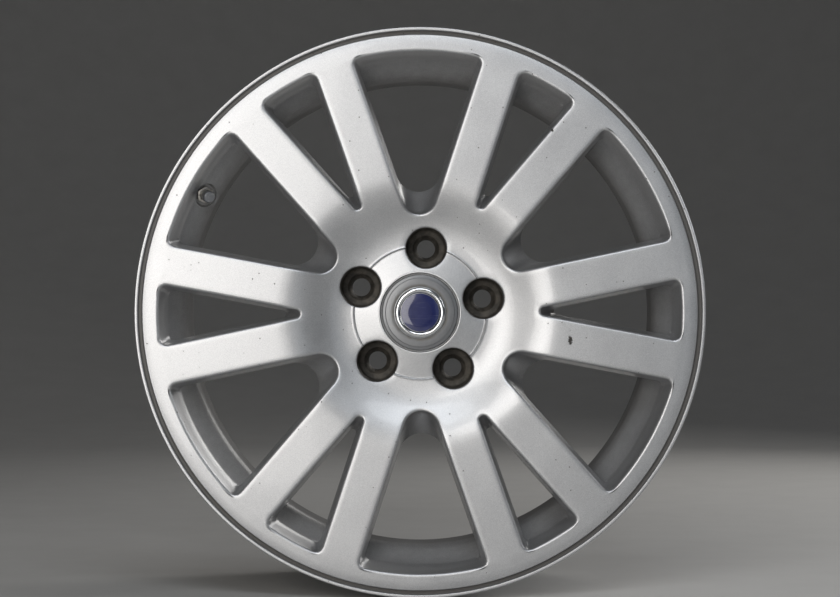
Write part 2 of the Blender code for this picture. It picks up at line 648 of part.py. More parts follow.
# ---- valve --------------------------------------------------------------------------------
def build_valve():
    """Pieces of the valve; heights are from the pocket's floor, +Z out of the pocket."""
    foot_top = -VALVE_SEAT_THICK - GROMMET_THICK - 2 * GAP
    foot = foot_top - STEM_FOOT_THICK
    tip_start = STEM_HEIGHT - 7.5 * MM
    plate_top = STEM_HEIGHT - 0.6 * MM - CORE_LENGTH - CORE_SEAL_THICK - 2 * GAP
    spring_low = plate_top - PIN_PLATE_THICK - GAP - CORE_SPRING_LENGTH
    chamber = spring_low - GAP
    brass = (0.72, 0.55, 0.28)
    rubber = (0.02, 0.02, 0.02)
    turned(
        "valve_stem",
        [
            (STEM_TIP_R, STEM_HEIGHT - 0.5 * MM),
            (STEM_TIP_R, tip_start),
            (STEM_R, tip_start - 0.4 * MM),
            (STEM_R, foot_top),
            (STEM_FOOT_R, foot_top),
            (STEM_FOOT_R - 1 * MM, foot),
            (1.1 * MM, foot),
            (1.1 * MM, chamber),
            (CORE_BORE_R, chamber),
            (CORE_BORE_R, STEM_HEIGHT),
            (STEM_TIP_R - 0.5 * MM, STEM_HEIGHT),
        ],
        VALVE_STEPS,
        finish("valve_nickel", (0.6, 0.6, 0.6), 0.3, 1.0),
        valve,
    )
    sleeve_r = VALVE_HOLE_R - GAP
    turned(
        "valve_grommet",
        [
            (sleeve_r, -1 * MM),
            (sleeve_r, -VALVE_SEAT_THICK - GAP),
            (STEM_FOOT_R, -VALVE_SEAT_THICK - GAP),
            (STEM_FOOT_R, -VALVE_SEAT_THICK - GAP - GROMMET_THICK),
            (STEM_R + GAP, -VALVE_SEAT_THICK - GAP - GROMMET_THICK),
            (STEM_R + GAP, -1 * MM),
        ],
        VALVE_STEPS,
        finish("valve_rubber", rubber, 0.8, 0.0),
        valve,
    )
    work = bmesh.new()
    bmesh.ops.create_cone(
        work, cap_ends=True, segments=6, radius1=NUT_ACROSS / math.sqrt(3),
        radius2=NUT_ACROSS / math.sqrt(3), depth=NUT_HEIGHT,
        matrix=Matrix.Translation((0, 0, GAP + NUT_HEIGHT / 2)),
    )
    steel = finish("valve_nut_steel", (0.55, 0.55, 0.56), 0.3, 1.0)
    nut = place("valve_nut", bmesh_to_mesh(work, "valve_nut"), steel, valve)
    nut_bore = cylinder("nut_cutter", STEM_R + GAP, -5 * MM, 10 * MM, VALVE_STEPS, valve)
    boolean(nut, nut_bore, "DIFFERENCE")

    core_top = STEM_HEIGHT - 0.6 * MM
    turned(
        "valve_core_barrel",
        [
            (CORE_R, core_top - 3 * MM),
            (CORE_R, core_top - CORE_LENGTH),
            (PIN_R + GAP, core_top - CORE_LENGTH),
            (PIN_R + GAP, core_top),
            (1.3 * MM, core_top),
            (1.6 * MM, core_top - 3 * MM),
        ],
        12,
        finish("core_brass", brass, 0.3, 1.0),
        valve,
    )
    plate_low = plate_top - PIN_PLATE_THICK
    pin_top = STEM_HEIGHT - 0.3 * MM
    turned(
        "valve_core_pin",
        [
            (0, pin_top),
            (PIN_R, pin_top),
            (PIN_R, plate_top),
            (PIN_PLATE_R, plate_top),
            (PIN_PLATE_R, plate_low),
            (PIN_R, plate_low),
            (PIN_R, chamber - 1 * MM),
            (0, chamber - 1 * MM),
        ],
        12,
        finish("pin_brass", brass, 0.3, 1.0),
        valve,
    )
    turned(
        "valve_core_seal",
        [
            (PIN_PLATE_R, plate_top + GAP + CORE_SEAL_THICK),
            (PIN_PLATE_R, plate_top + GAP),
            (PIN_R + GAP, plate_top + GAP),
            (PIN_R + GAP, plate_top + GAP + CORE_SEAL_THICK),
        ],
        12,
        finish("core_rubber", rubber, 0.8, 0.0),
        valve,
    )
    build_core_spring(spring_low + CORE_SPRING_WIRE_R)

    inner_r = STEM_TIP_R + GAP
    outer_r = inner_r + VALVE_CAP_WALL
    washer = STEM_HEIGHT + GAP
    ceiling = washer + 0.9 * MM + GAP
    skirt = STEM_HEIGHT - VALVE_CAP_SKIRT
    turned(
        "valve_cap",
        [
            (0, ceiling + VALVE_CAP_TOP),
            (outer_r - 1 * MM, ceiling + VALVE_CAP_TOP),
            (outer_r, ceiling + VALVE_CAP_TOP - 1 * MM),
            (outer_r, skirt),
            (inner_r, skirt),
            (inner_r, ceiling),
            (0, ceiling),
        ],
        VALVE_STEPS,
        finish("valve_cap_grey", (0.45, 0.46, 0.48), 0.35, 0.9),
        valve_cap,
    )
    turned(
        "valve_cap_seal",
        [
            (inner_r - GAP, washer + 0.9 * MM),
            (inner_r - GAP, washer),
            (1.5 * MM, washer),
            (1.5 * MM, washer + 0.9 * MM),
        ],
        12,
        finish("cap_rubber", rubber, 0.8, 0.0),
        valve_cap,
    )


def build_core_spring(low):
    """Coil between the stem's shoulder and the pin's plate."""
    curve = bpy.data.curves.new("valve_core_spring", "CURVE")
    curve.dimensions = "3D"
    curve.bevel_depth = CORE_SPRING_WIRE_R
    curve.bevel_resolution = 0
    curve.use_fill_caps = True
    per_turn = 10
    count = CORE_SPRING_TURNS * per_turn + 1
    rise = CORE_SPRING_LENGTH - 2 * CORE_SPRING_WIRE_R
    coil = curve.splines.new("POLY")
    coil.points.add(count - 1)
    for i, point in enumerate(coil.points):
        angle = math.tau * i / per_turn
        x, y = CORE_SPRING_R * math.cos(angle), CORE_SPRING_R * math.sin(angle)
        point.co = (x, y, low + rise * i / (count - 1), 1)
    curve.materials.append(finish("core_spring_steel", (0.55, 0.55, 0.57), 0.3, 1.0))
    made = bpy.data.objects.new("valve_core_spring", curve)
    wheel_parts.objects.link(made)
    made.parent = valve


# ---- putting it together ------------------------------------------------------------------
clear_scene()
wheel_parts = new_collection("alloy_wheel_rim")
cutters = new_collection("cutters")
wheel = empty("wheel_axis", None, Matrix.Rotation(math.pi / 2, 4, "X"))
cap = empty("cap_axis", wheel, Matrix.Translation((0, 0, CAP_SEAT_H)))
to_valve = (
    Matrix.Rotation(VALVE_ANGLE, 4, "Z")
    @ Matrix.Translation((VALVE_R, 0, slope_inner_h(VALVE_R)))
    @ Matrix.Rotation(-VALVE_TILT, 4, "Y")
    @ Matrix.Translation((0, 0, -VALVE_POCKET_DEPTH))
)
valve = empty("valve_axis", wheel, to_valve)
valve_cap = empty("valve_cap_axis", valve, Matrix.Identity(4))
bpy.context.view_layer.update()

build_rim()
build_hub()
build_spokes()
build_cap()
build_valve()
bpy.context.view_layer.update()
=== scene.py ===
import math

import bmesh
import bpy
import numpy as np
from mathutils import Matrix, Vector


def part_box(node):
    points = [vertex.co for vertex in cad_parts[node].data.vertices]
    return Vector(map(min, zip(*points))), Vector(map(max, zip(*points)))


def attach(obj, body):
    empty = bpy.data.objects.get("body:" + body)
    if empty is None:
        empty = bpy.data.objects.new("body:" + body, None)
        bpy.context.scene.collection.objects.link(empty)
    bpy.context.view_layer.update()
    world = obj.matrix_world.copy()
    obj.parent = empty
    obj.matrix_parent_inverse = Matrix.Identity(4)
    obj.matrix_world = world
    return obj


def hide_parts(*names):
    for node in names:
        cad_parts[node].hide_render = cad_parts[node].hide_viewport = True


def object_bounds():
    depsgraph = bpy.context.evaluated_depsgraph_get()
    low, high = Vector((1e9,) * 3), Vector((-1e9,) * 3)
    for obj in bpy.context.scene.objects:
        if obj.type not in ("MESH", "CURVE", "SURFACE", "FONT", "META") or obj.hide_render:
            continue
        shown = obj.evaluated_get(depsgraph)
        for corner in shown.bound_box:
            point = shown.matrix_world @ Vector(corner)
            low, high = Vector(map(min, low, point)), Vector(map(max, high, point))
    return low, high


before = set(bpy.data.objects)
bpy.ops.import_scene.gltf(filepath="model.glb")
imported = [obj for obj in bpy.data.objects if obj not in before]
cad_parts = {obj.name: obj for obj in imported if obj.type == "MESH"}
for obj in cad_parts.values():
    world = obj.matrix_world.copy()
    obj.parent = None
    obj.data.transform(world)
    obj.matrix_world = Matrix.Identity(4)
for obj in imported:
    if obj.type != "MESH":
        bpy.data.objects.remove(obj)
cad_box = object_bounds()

MM = 0.001

# The casting: low-pressure cast aluminium in one piece, machined on its mounting pad, bore
# and bead seats, then powder primed, sprayed silver and lacquered. The mesh is worked out as
# loops round each window and each lug well, on both faces, and turned round the axle.
rim_low, rim_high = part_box("rim_outer_flange")
FLANGE_R = rim_high.x / MM
HALF_WIDTH = -rim_low.y / MM        # heights are outboard of the mid-plane, in millimetres
OFFSET = -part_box("hub")[1].y / MM   # mounting pad
HUB_R = 84.0
BEAD_R = FLANGE_R - 17.5
HALF_RIM = HALF_WIDTH - 12.25
WALL = 4.6
WELL_R = BEAD_R - 17.5
WELL_FLOOR_R = WELL_R - WALL
WELL_FRONT = 55.0
WELL_BACK = WELL_FRONT - 34.0
WELL_SLOPE = math.tan(math.radians(41))
FACE_H = HALF_WIDTH - 1.2
GROOVE_R = 231.2
GROOVE_DEPTH = 2.8
GROOVE_FLOOR = 1.4                  # half the width of its floor

PAIRS = 6
PAIR_HALF = math.radians(11.2)
PHASE = math.radians(0.6)
SPOKE_HALF = 16.75
SPOKE_DRAFT = 2.9                   # how much further out each flank stands at the back
SPOKE_DEPTH = 30.0
SPOKE_BACK_RISE = 12.0
WINDOW_R = 215.5
EDGE_ROUND = 2.6
BACK_ROUND = 2.0
BOWL_IN, BOWL_OUT = 55.0, 120.0
BOWL_DEPTH = 12.3
FACE_FALL = 2.5
STEP_H = HALF_WIDTH - 19.5
STEP_HALF = 0.7                     # half the width over which the step falls
STEP_BEAD = 0.35                    # raised line along the step's outer edge
BEZEL_H = STEP_H + 2.8
BEZEL_R = 34.0
FACE_SEAM_R = 222.0                 # circle where the windows' loops meet the turned ring
FLOOR_SEAM_H = 49.0                 # and on the well's floor
HUB_SEAM_R = 76.0
POCKET_HALF = 9.5                   # lightening pocket in each spoke's back
POCKET_DEPTH = 17.0
POCKET_START, POCKET_END = 110.0, 194.0


def smooth_step(share):
    share = np.clip(share, 0, 1)
    return share * share * (3 - 2 * share)


def face_height(radius):
    """Styled face: nearly flat spokes that sink into a bowl at the hub."""
    radius = np.minimum(radius, WINDOW_R)
    flat = FACE_H - FACE_FALL * (WINDOW_R - radius) / (WINDOW_R - BOWL_OUT)
    share = np.clip((radius - BOWL_IN) / (BOWL_OUT - BOWL_IN), 0, 1)
    eased = share ** 3 * (10 - 15 * share + 6 * share ** 2)
    return flat - BOWL_DEPTH * (1 - eased)


def hub_height(radius):
    """The face inside the bowl: a rounded step, then a low cone up to the cap."""
    cone = STEP_H + (BEZEL_H - STEP_H) * (BOWL_IN - radius) / (BOWL_IN - BEZEL_R - 0.1)
    bowl = face_height(np.maximum(radius, BOWL_IN))
    blend = smooth_step((radius - BOWL_IN + STEP_HALF) / (2 * STEP_HALF))
    bead = STEP_BEAD * np.exp(-((radius - BOWL_IN - 0.75) / 0.5) ** 2)
    return cone * (1 - blend) + bowl * blend + bead


def spoke_back(radius):
    run = (radius - HUB_R) / (WINDOW_R - HUB_R)
    return FACE_H - SPOKE_DEPTH - SPOKE_BACK_RISE * (1 - np.clip(run, 0, 1))


def rounded(points, radii, steps=6):
    """A polyline of (radius, height) with its inner corners replaced by arcs."""
    points = [np.array(p, float) for p in points]
    out = [points[0]]
    for before, corner, after, radius in zip(points, points[1:], points[2:], radii):
        back, ahead = before - corner, after - corner
        back_long, ahead_long = np.linalg.norm(back), np.linalg.norm(ahead)
        back, ahead = back / back_long, ahead / ahead_long
        half = math.acos(np.clip(back @ ahead, -1, 1)) / 2
        cut = min(radius / math.tan(half), 0.48 * back_long, 0.48 * ahead_long)
        if radius <= 0 or cut < 0.01:
            out.append(corner)
            continue
        middle = corner + (back + ahead) / np.linalg.norm(back + ahead) * cut / math.cos(half)
        first, last = corner + back * cut, corner + ahead * cut
        start = math.atan2(*(first - middle)[::-1])
        sweep = math.atan2(*(last - middle)[::-1]) - start
        sweep = (sweep + math.pi) % math.tau - math.pi
        size = np.linalg.norm(first - middle)
        for i in range(steps + 1):
            angle = start + sweep * i / steps
            out.append(middle + size * np.array([math.cos(angle), math.sin(angle)]))
    out.append(points[-1])
    return np.array(out)


def along(path, shares):
    """Points at shares of a polyline's length."""
    length = np.concatenate([[0], np.cumsum(np.linalg.norm(np.diff(path, axis=0), axis=1))])
    at = np.asarray(shares) * length[-1]
    return np.stack([np.interp(at, length, path[:, i]) for i in (0, 1)], axis=-1)


# Brake side of the barrel from a window's outer edge down to the floor of the well.
window_wall = rounded(
    [
        (WINDOW_R, FACE_H - EDGE_ROUND),
        (WINDOW_R - 1.6, HALF_RIM),
        (212.5, WELL_FRONT + 4 + (212.5 - WELL_FLOOR_R) / WELL_SLOPE),
        (WELL_FLOOR_R, WELL_FRONT + 4),
        (WELL_FLOOR_R, FLOOR_SEAM_H),
    ],
    [0, 16, 8],
    8,
)
wall_length = np.concatenate(
    [[0], np.cumsum(np.linalg.norm(np.diff(window_wall, axis=0), axis=1))]
)
above_back = window_wall[:, 1] - spoke_back(window_wall[:, 0])
JOIN = float(np.interp(0, -above_back, wall_length)) / wall_length[-1]
join_r = float(along(window_wall, [JOIN])[0, 0])

# Distances from the axle at which a spoke's centre line carries mesh points.
stations = [HUB_SEAM_R, 79, 82, 85, 88, 91.5, 95, 98.5, 102, 105, 107.5]
stations += [109, 110, 111, 112, 113.5, 117]
stations += list(np.linspace(123, 188, 12))
stations += [191, 192.5, 193.5, 194.5, 195.5, 197.5, 201]
SIDE_END = len(stations)
stations += [204.5, 207, 209, 210.5, join_r]
JOIN_AT = len(stations) - 1
stations += [join_r + 2, 215.5, 217.6, 219.8, FACE_SEAM_R]
stations = np.array(stations, float)


def outline(half, flank, tip_round, outer, corner_round, tip_steps, side_shares, outer_steps):
    """Half of a window's edge, from its tip on the window's axis to its outer middle.

    Gives the points and the directions in which metal lies."""
    centre = (flank + tip_round) / math.sin(half)
    turn = np.linspace(math.pi, math.pi / 2 + half, tip_steps + 1)
    tip_out = np.stack([np.cos(turn), np.sin(turn)], -1)
    tip = np.array([centre, 0]) + tip_round * tip_out

    reach = outer - corner_round
    corner_at = half - math.asin((flank + corner_round) / reach)
    corner_mid = reach * np.array([math.cos(corner_at), math.sin(corner_at)])
    turn = np.linspace(math.pi / 2 + half, corner_at, JOIN_AT - SIDE_END + 1)
    corner_out = np.stack([np.cos(turn), np.sin(turn)], -1)
    corner = corner_mid + corner_round * corner_out

    shares = np.asarray(side_shares)[:, None]
    side = tip[-1] + (corner[0] - tip[-1]) * shares
    side_out = np.repeat(tip_out[-1:], len(side), 0)

    turn = np.linspace(corner_at, 0, outer_steps + 1)[1:]
    outer_out = np.stack([np.cos(turn), np.sin(turn)], -1)
    points = np.concatenate([tip, side, corner, outer * outer_out])
    return points, np.concatenate([tip_out, side_out, corner_out, outer_out])


def polar(points):
    return np.hypot(points[:, 0], points[:, 1]), np.arctan2(points[:, 1], points[:, 0])


def from_polar(radius, angle, height):
    return np.stack([radius * np.cos(angle), radius * np.sin(angle), height], -1)


def mirrored(half_loop):
    """A whole loop from its half above the window's axis."""
    other = half_loop[-2:0:-1] * np.array([1, -1, 1])
    return np.concatenate([half_loop, other])


def window_loops(half, first_side, arc_steps, front_tip, back_tip):
    """Loops round one window, from the seam on the face, over its edge, down its walls, over
    the spokes' backs to the seam behind."""
    tip_steps = arc_steps + first_side
    outer_steps = len(stations) - 1 - JOIN_AT + arc_steps
    run = stations[first_side:SIDE_END + 1]
    shares = ((run - run[0]) / (run[-1] - run[0]))[1:-1]
    front, out = outline(half, SPOKE_HALF, front_tip, WINDOW_R, 5.0, tip_steps, shares, outer_steps)
    flank = SPOKE_HALF + SPOKE_DRAFT
    back, back_out = outline(half, flank, back_tip, join_r, 4.0, tip_steps, shares, outer_steps)
    count = len(front)

    inner = np.linspace(0, half, arc_steps + 1)[:-1]
    outer = np.linspace(half, 0, arc_steps + 1)[1:]
    seam_r = np.concatenate([np.full(arc_steps, HUB_SEAM_R), stations, np.full(arc_steps, FACE_SEAM_R)])
    seam_a = np.concatenate([inner, np.full(len(stations), half), outer])
    seam = from_polar(seam_r, seam_a, np.zeros(count))[:, :2]

    join_index = arc_steps + JOIN_AT
    outer_share = np.clip((np.arange(count) - (arc_steps + SIDE_END)) / (JOIN_AT - SIDE_END), 0, 1)
    outer_share = smooth_step(outer_share)[:, None]

    # Share of the window wall's length at which each point of the seam behind lies.
    slope_shares = np.linspace(JOIN, 1, len(stations) - JOIN_AT)
    seam_share = np.concatenate([np.full(join_index, JOIN), slope_shares, np.ones(arc_steps)])
    scaled = HUB_R + (stations - HUB_SEAM_R) * (join_r - HUB_R) / (join_r - HUB_SEAM_R)
    near = smooth_step((stations - HUB_SEAM_R) / 28.0)
    back_line = scaled * (1 - near) + stations * near
    back_r = np.concatenate([np.full(arc_steps, HUB_R), back_line, np.full(arc_steps, back_line[-1])])

    front_angle = polar(front)[1]
    back_radius, back_angle = polar(back)
    loops = []

    def add(points):
        loops.append(mirrored(points))

    for share in (0, 0.3, 0.58, 0.82):
        flat = seam + (front + out * EDGE_ROUND - seam) * share
        add(np.column_stack([flat, face_height(polar(flat)[0])]))
    for turn in np.radians([0, 18, 36, 54, 72, 90]):
        flat = front + out * EDGE_ROUND * (1 - math.sin(turn))
        fall = EDGE_ROUND * (1 - math.cos(turn))
        add(np.column_stack([flat, face_height(polar(flat)[0]) - fall]))

    top = face_height(polar(front)[0]) - EDGE_ROUND
    low = spoke_back(back_radius) + BACK_ROUND
    for share in (0.14, 0.36, 0.62, 0.86, 1):
        flank_point = np.column_stack([front + (back - front) * share, top + (low - top) * share])
        wall = along(window_wall, np.full(count, JOIN * share * 0.94))
        angle = front_angle + (back_angle - front_angle) * share
        wall_point = from_polar(wall[:, 0], angle, wall[:, 1])
        add(flank_point * (1 - outer_share) + wall_point * outer_share)

    for turn in np.radians([22, 45, 67, 90]):
        flat = back + back_out * BACK_ROUND * (1 - math.cos(turn))
        height = spoke_back(polar(flat)[0]) + BACK_ROUND * (1 - math.sin(turn))
        share = JOIN * (0.94 + 0.06 * turn / (math.pi / 2))
        wall = along(window_wall, np.full(count, share))
        wall_point = from_polar(wall[:, 0], back_angle, wall[:, 1])
        last = np.column_stack([flat, height]) * (1 - outer_share) + wall_point * outer_share
        add(last)

    start_r, start_a = polar(last[:, :2])
    flank_left = flank - BACK_ROUND
    across = [13.5, 11.2, 10.2, 9.5, 8.7, 7.5, 3.7, 0]
    for reach in across:
        share = 1 - reach / flank_left
        radius = start_r + (back_r - start_r) * share
        angle = start_a + (seam_a - start_a) * share
        height = spoke_back(radius)
        ends = smooth_step((back_r - POCKET_START + 2) / 4) * smooth_step((POCKET_END + 2 - back_r) / 4)
        sink = POCKET_DEPTH * smooth_step((POCKET_HALF + 0.9 - reach) / 2.4) * ends
        on_back = from_polar(radius, angle, height + sink)
        wall = along(window_wall, JOIN + (seam_share - JOIN) * share)
        on_wall = from_polar(wall[:, 0], angle, wall[:, 1])
        below = (np.arange(count) > join_index)[:, None]
        add(np.where(below, on_wall, on_back))
    return loops


def lofted(loops, closed=True):
    """Points and quads between loops of equal length."""
    count = len(loops[0])
    points = np.concatenate(loops)
    quads = []
    for row in range(len(loops) - 1):
        for i in range(count if closed else count - 1):
            j = (i + 1) % count
            a, b = row * count, (row + 1) * count
            quads.append((a + i, a + j, b + j, b + i))
    return points, quads


def turned_about(points, angle):
    c, s = math.cos(angle), math.sin(angle)
    return points @ np.array([[c, s, 0], [-s, c, 0], [0, 0, 1]])


def new_piece(name, points, faces, scale=MM):
    """A mesh object in the scene's frame from points about the axle (x, y, height)."""
    points = np.asarray(points, float) * scale
    world = np.column_stack([points[:, 0], -points[:, 2], points[:, 1]])
    mesh = bpy.data.meshes.new(name)
    mesh.from_pydata(world.tolist(), [], [tuple(int(i) for i in f) for f in faces])
    made = bpy.data.objects.new(name, mesh)
    bpy.context.scene.collection.objects.link(made)
    return made


def joined_points(parts):
    points, faces, start = [], [], 0
    for some, quads in parts:
        points.append(some)
        faces += [tuple(i + start for i in quad) for quad in quads]
        start += len(some)
    return np.concatenate(points), faces


NARROW_STEPS, WIDE_STEPS = 8, 13
narrow = window_loops(PAIR_HALF, 8, NARROW_STEPS, 3.3, 2.8)
wide = window_loops(math.radians(30) - PAIR_HALF, 5, WIDE_STEPS, 14.3, 19.3)
wide_turn = math.radians(30)

# The turned ring: face ring, groove, lip, flanges, bead seats, well and inside of the barrel.
seat_end_r = BEAD_R - 21 * math.tan(math.radians(5))
shoulder = BEAD_R - 2.4
side_r = shoulder - WALL
rear_run = (shoulder - WELL_R) / math.tan(math.radians(22))
inner_run = (side_r - WELL_FLOOR_R) / math.tan(math.radians(22))
ring_profile = [
    (FACE_SEAM_R, FACE_H, 0),
    (GROOVE_R - GROOVE_FLOOR - 0.6, FACE_H, 0.6),
    (GROOVE_R - GROOVE_FLOOR, FACE_H - GROOVE_DEPTH, 0.6),
    (GROOVE_R + GROOVE_FLOOR, FACE_H - GROOVE_DEPTH, 0.6),
    (GROOVE_R + GROOVE_FLOOR + 0.45, HALF_WIDTH - 0.15, 0.5),
    (FLANGE_R - 0.6, HALF_WIDTH - 0.02, 0.5),
    (FLANGE_R, HALF_WIDTH - 0.7, 0.6),
    (FLANGE_R, HALF_RIM + 5.5, 3),
    (FLANGE_R - 4.5, HALF_RIM, 4),
    (BEAD_R + 0.2, HALF_RIM, 5),
    (seat_end_r, HALF_RIM - 21, 2),
    (seat_end_r + 1.4, HALF_RIM - 24, 1.5),
    (shoulder, HALF_RIM - 27, 2),
    (WELL_R, WELL_FRONT, 7),
    (WELL_R, WELL_BACK, 12),
    (shoulder, WELL_BACK - rear_run, 15),
    (shoulder, -HALF_RIM + 27, 2),
    (seat_end_r + 1.4, -HALF_RIM + 24, 1.5),
    (seat_end_r, -HALF_RIM + 21, 2),
    (BEAD_R + 0.2, -HALF_RIM, 5),
    (FLANGE_R - 4.5, -HALF_RIM, 4),
    (FLANGE_R, -HALF_RIM - 5.5, 3),
    (FLANGE_R, -HALF_WIDTH + 1.5, 1.4),
    (FLANGE_R - 1.4, -HALF_WIDTH, 1.2),
    (FLANGE_R - 7.2, -HALF_WIDTH, 1.5),
    (FLANGE_R - 13, -HALF_WIDTH + 5.0, 5),
    (side_r + 3, -HALF_RIM - 0.3, 6),
    (side_r, -HALF_RIM + 7, 6),
    (side_r, WELL_BACK - 4 - inner_run, 15),
    (WELL_FLOOR_R, WELL_BACK - 4, 15),
    (WELL_FLOOR_R, FLOOR_SEAM_H, 0),
]
ring_path = rounded([p[:2] for p in ring_profile], [p[2] for p in ring_profile[1:-1]], 3)

# Long runs of the ring are divided so that the surface stays evenly meshed.
dense = [ring_path[0]]
for here, there in zip(ring_path, ring_path[1:]):
    parts = max(1, round(float(np.linalg.norm(there - here)) / 16.0))
    dense += [here + (there - here) * (i + 1) / parts for i in range(parts)]
ring_path = np.array(dense)
sector_angles = np.concatenate([
    np.linspace(-PAIR_HALF, PAIR_HALF, 2 * NARROW_STEPS + 1),
    wide_turn + np.linspace(-1, 1, 2 * WIDE_STEPS + 1)[1:] * (wide_turn - PAIR_HALF),
])


def turned_strip(path, angles):
    rows = [from_polar(np.full(len(angles), r), angles, np.full(len(angles), h)) for r, h in path]
    return lofted(rows, closed=False)


hub_back_path = rounded(
    [
        (HUB_R, float(spoke_back(HUB_R))),
        (HUB_R - 1.5, OFFSET + 9.5),
        (77, OFFSET + 7),
        (75, OFFSET + 1),
        (73.8, OFFSET),
        (73.0, OFFSET),
    ],
    [2, 2, 3, 0.8],
    4,
)
window_parts = [
    lofted(narrow),
    lofted([turned_about(loop, wide_turn) for loop in wide]),
    turned_strip(ring_path, sector_angles),
    turned_strip(hub_back_path[:-1], sector_angles),
]

# One lug well with its share of the bowl, cone and mounting pad: loops round the hole again,
# with a row of points kept on the step's circle so that the step stays crisp.
LUGS = 5
LUG_R = 54.0
LUG_PHASE = PHASE + math.radians(12)
LUG_HALF = math.pi / LUGS
WELL_TOP, WELL_LAND, LUG_SEAT, LUG_HOLE = 16.9, 16.4, 11.0, 7.6
LAND_H = OFFSET + 14
BORE_EDGE_R = 34.5
LUG_FRONT_R = 74.6
lug_side = np.array([LUG_FRONT_R, 72.5, 70, 67, 64, 61.5, 59.5, 58, 57, 56.3, 55.8, 55.5, 55.25, 55.0,
                     54.75, 54.5, 54.2, 53.5, 52.5, 51, 49, 46.5, 44, 41.5, 39, 36.8, BORE_EDGE_R])
FREE_TOP, FREE_LOW = 3, 23          # side points between these lie at the same radius as the well's
LUG_ARC = 13
LIP_ROUND = 1.3
outer_arc = np.linspace(0, LUG_HALF, LUG_ARC + 1)[:-1]
inner_arc = np.linspace(LUG_HALF, 0, LUG_ARC + 1)[1:]
lug_seam_r = np.concatenate([np.full(LUG_ARC, LUG_FRONT_R), lug_side, np.full(LUG_ARC, BORE_EDGE_R)])
lug_seam_a = np.concatenate([outer_arc, np.full(len(lug_side), LUG_HALF), inner_arc])


def lug_turns(size):
    """Directions round the well, matched so that level points share their radius."""
    def at_radius(radius):
        return np.arccos((radius ** 2 - LUG_R ** 2 - size ** 2) / (2 * LUG_R * size))

    matched = at_radius(lug_side[FREE_TOP:FREE_LOW + 1])
    first = np.linspace(0, matched[0], LUG_ARC + FREE_TOP + 1)[:-1]
    last = np.linspace(matched[-1], math.pi, LUG_ARC + len(lug_side) - FREE_LOW)[1:]
    return np.concatenate([first, matched, last])


def ring_round_lug(size, turns, height=None, fall=0.0):
    x, y = LUG_R + size * np.cos(turns), size * np.sin(turns)
    if height is None:
        height = hub_height(np.hypot(x, y)) - fall
    return np.column_stack([x, y, np.broadcast_to(height, x.shape)])


lip = WELL_TOP + LIP_ROUND
turns = lug_turns(lip)
lug_loops = []
edge_r, edge_a = polar(ring_round_lug(lip, turns)[:, :2])
for share in (0, 0.27, 0.53, 0.78):
    radius = lug_seam_r + (edge_r - lug_seam_r) * share
    angle = lug_seam_a + (edge_a - lug_seam_a) * share
    lug_loops.append(from_polar(radius, angle, hub_height(radius)))
for turn in np.radians([0, 18, 36, 54, 72, 90]):
    size = WELL_TOP + LIP_ROUND * (1 - math.sin(turn))
    lug_loops.append(ring_round_lug(size, turns, fall=LIP_ROUND * (1 - math.cos(turn))))
wall_top = ring_round_lug(WELL_TOP, turns, fall=LIP_ROUND)
wall_low = ring_round_lug(WELL_LAND, turns, LAND_H + 2.5)
for share in (0.25, 0.5, 0.75, 1):
    lug_loops.append(wall_top + (wall_low - wall_top) * share)
for turn in np.radians([22, 45, 67, 90]):
    size = WELL_LAND - 2.5 * (1 - math.cos(turn))
    lug_loops.append(ring_round_lug(size, turns, LAND_H + 2.5 * (1 - math.sin(turn))))
seat_low = LAND_H - (LUG_SEAT - LUG_HOLE) * math.sqrt(3)
for size, height in (
    (LUG_SEAT + 0.3, LAND_H), (LUG_SEAT - 0.2, LAND_H - 0.5), (9.4, LAND_H - 2.8),
    (LUG_HOLE + 0.1, seat_low + 0.1), (LUG_HOLE, seat_low - 0.6), (LUG_HOLE, OFFSET + 4),
    (LUG_HOLE, OFFSET + 1.0), (LUG_HOLE + 0.9, OFFSET),
):
    lug_loops.append(ring_round_lug(size, turns, height))
pad_seam_r = np.interp(lug_seam_r, [BORE_EDGE_R, LUG_FRONT_R], [34.2, 73.0])
hole_r, hole_a = polar(ring_round_lug(LUG_HOLE + 0.9, turns, OFFSET)[:, :2])
for share in (0.15, 0.4, 0.7, 1):
    radius = hole_r + (pad_seam_r - hole_r) * share
    angle = hole_a + (lug_seam_a - hole_a) * share
    lug_loops.append(from_polar(radius, angle, np.full(len(radius), OFFSET)))
lug_loops = [mirrored(loop) for loop in lug_loops]

CAP_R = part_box("cap_shell")[1].x / MM
RECESS_R = CAP_R + 1.5
CAP_SEAT_H = BEZEL_H - 6.8
CAP_BORE_R = RECESS_R - 4.7
bore_profile = [
    (BORE_EDGE_R, float(hub_height(BORE_EDGE_R)), 0),
    (RECESS_R + 1.0, BEZEL_H + 0.35, 0.5),
    (RECESS_R + 0.2, BEZEL_H + 0.3, 0.4),
    (RECESS_R, BEZEL_H - 0.5, 0.4),
    (RECESS_R, CAP_SEAT_H, 0.4),
    (CAP_BORE_R, CAP_SEAT_H, 0.5),
    (CAP_BORE_R, CAP_SEAT_H - 8, 0.4),
    (CAP_BORE_R + 1.8, CAP_SEAT_H - 9.5, 0.6),
    (CAP_BORE_R + 1.8, OFFSET + 18.2, 0.6),
    (32.55, OFFSET + 16, 0.6),
    (32.55, OFFSET + 1.4, 0.5),
    (34.0, OFFSET, 0.1),
    (34.2, OFFSET, 0),
]
bore_path = rounded([p[:2] for p in bore_profile], [p[2] for p in bore_profile[1:-1]], 3)
lug_angles = np.linspace(-LUG_HALF, LUG_HALF, 2 * LUG_ARC + 1)
lug_parts = [lofted(lug_loops), turned_strip(bore_path, lug_angles)]


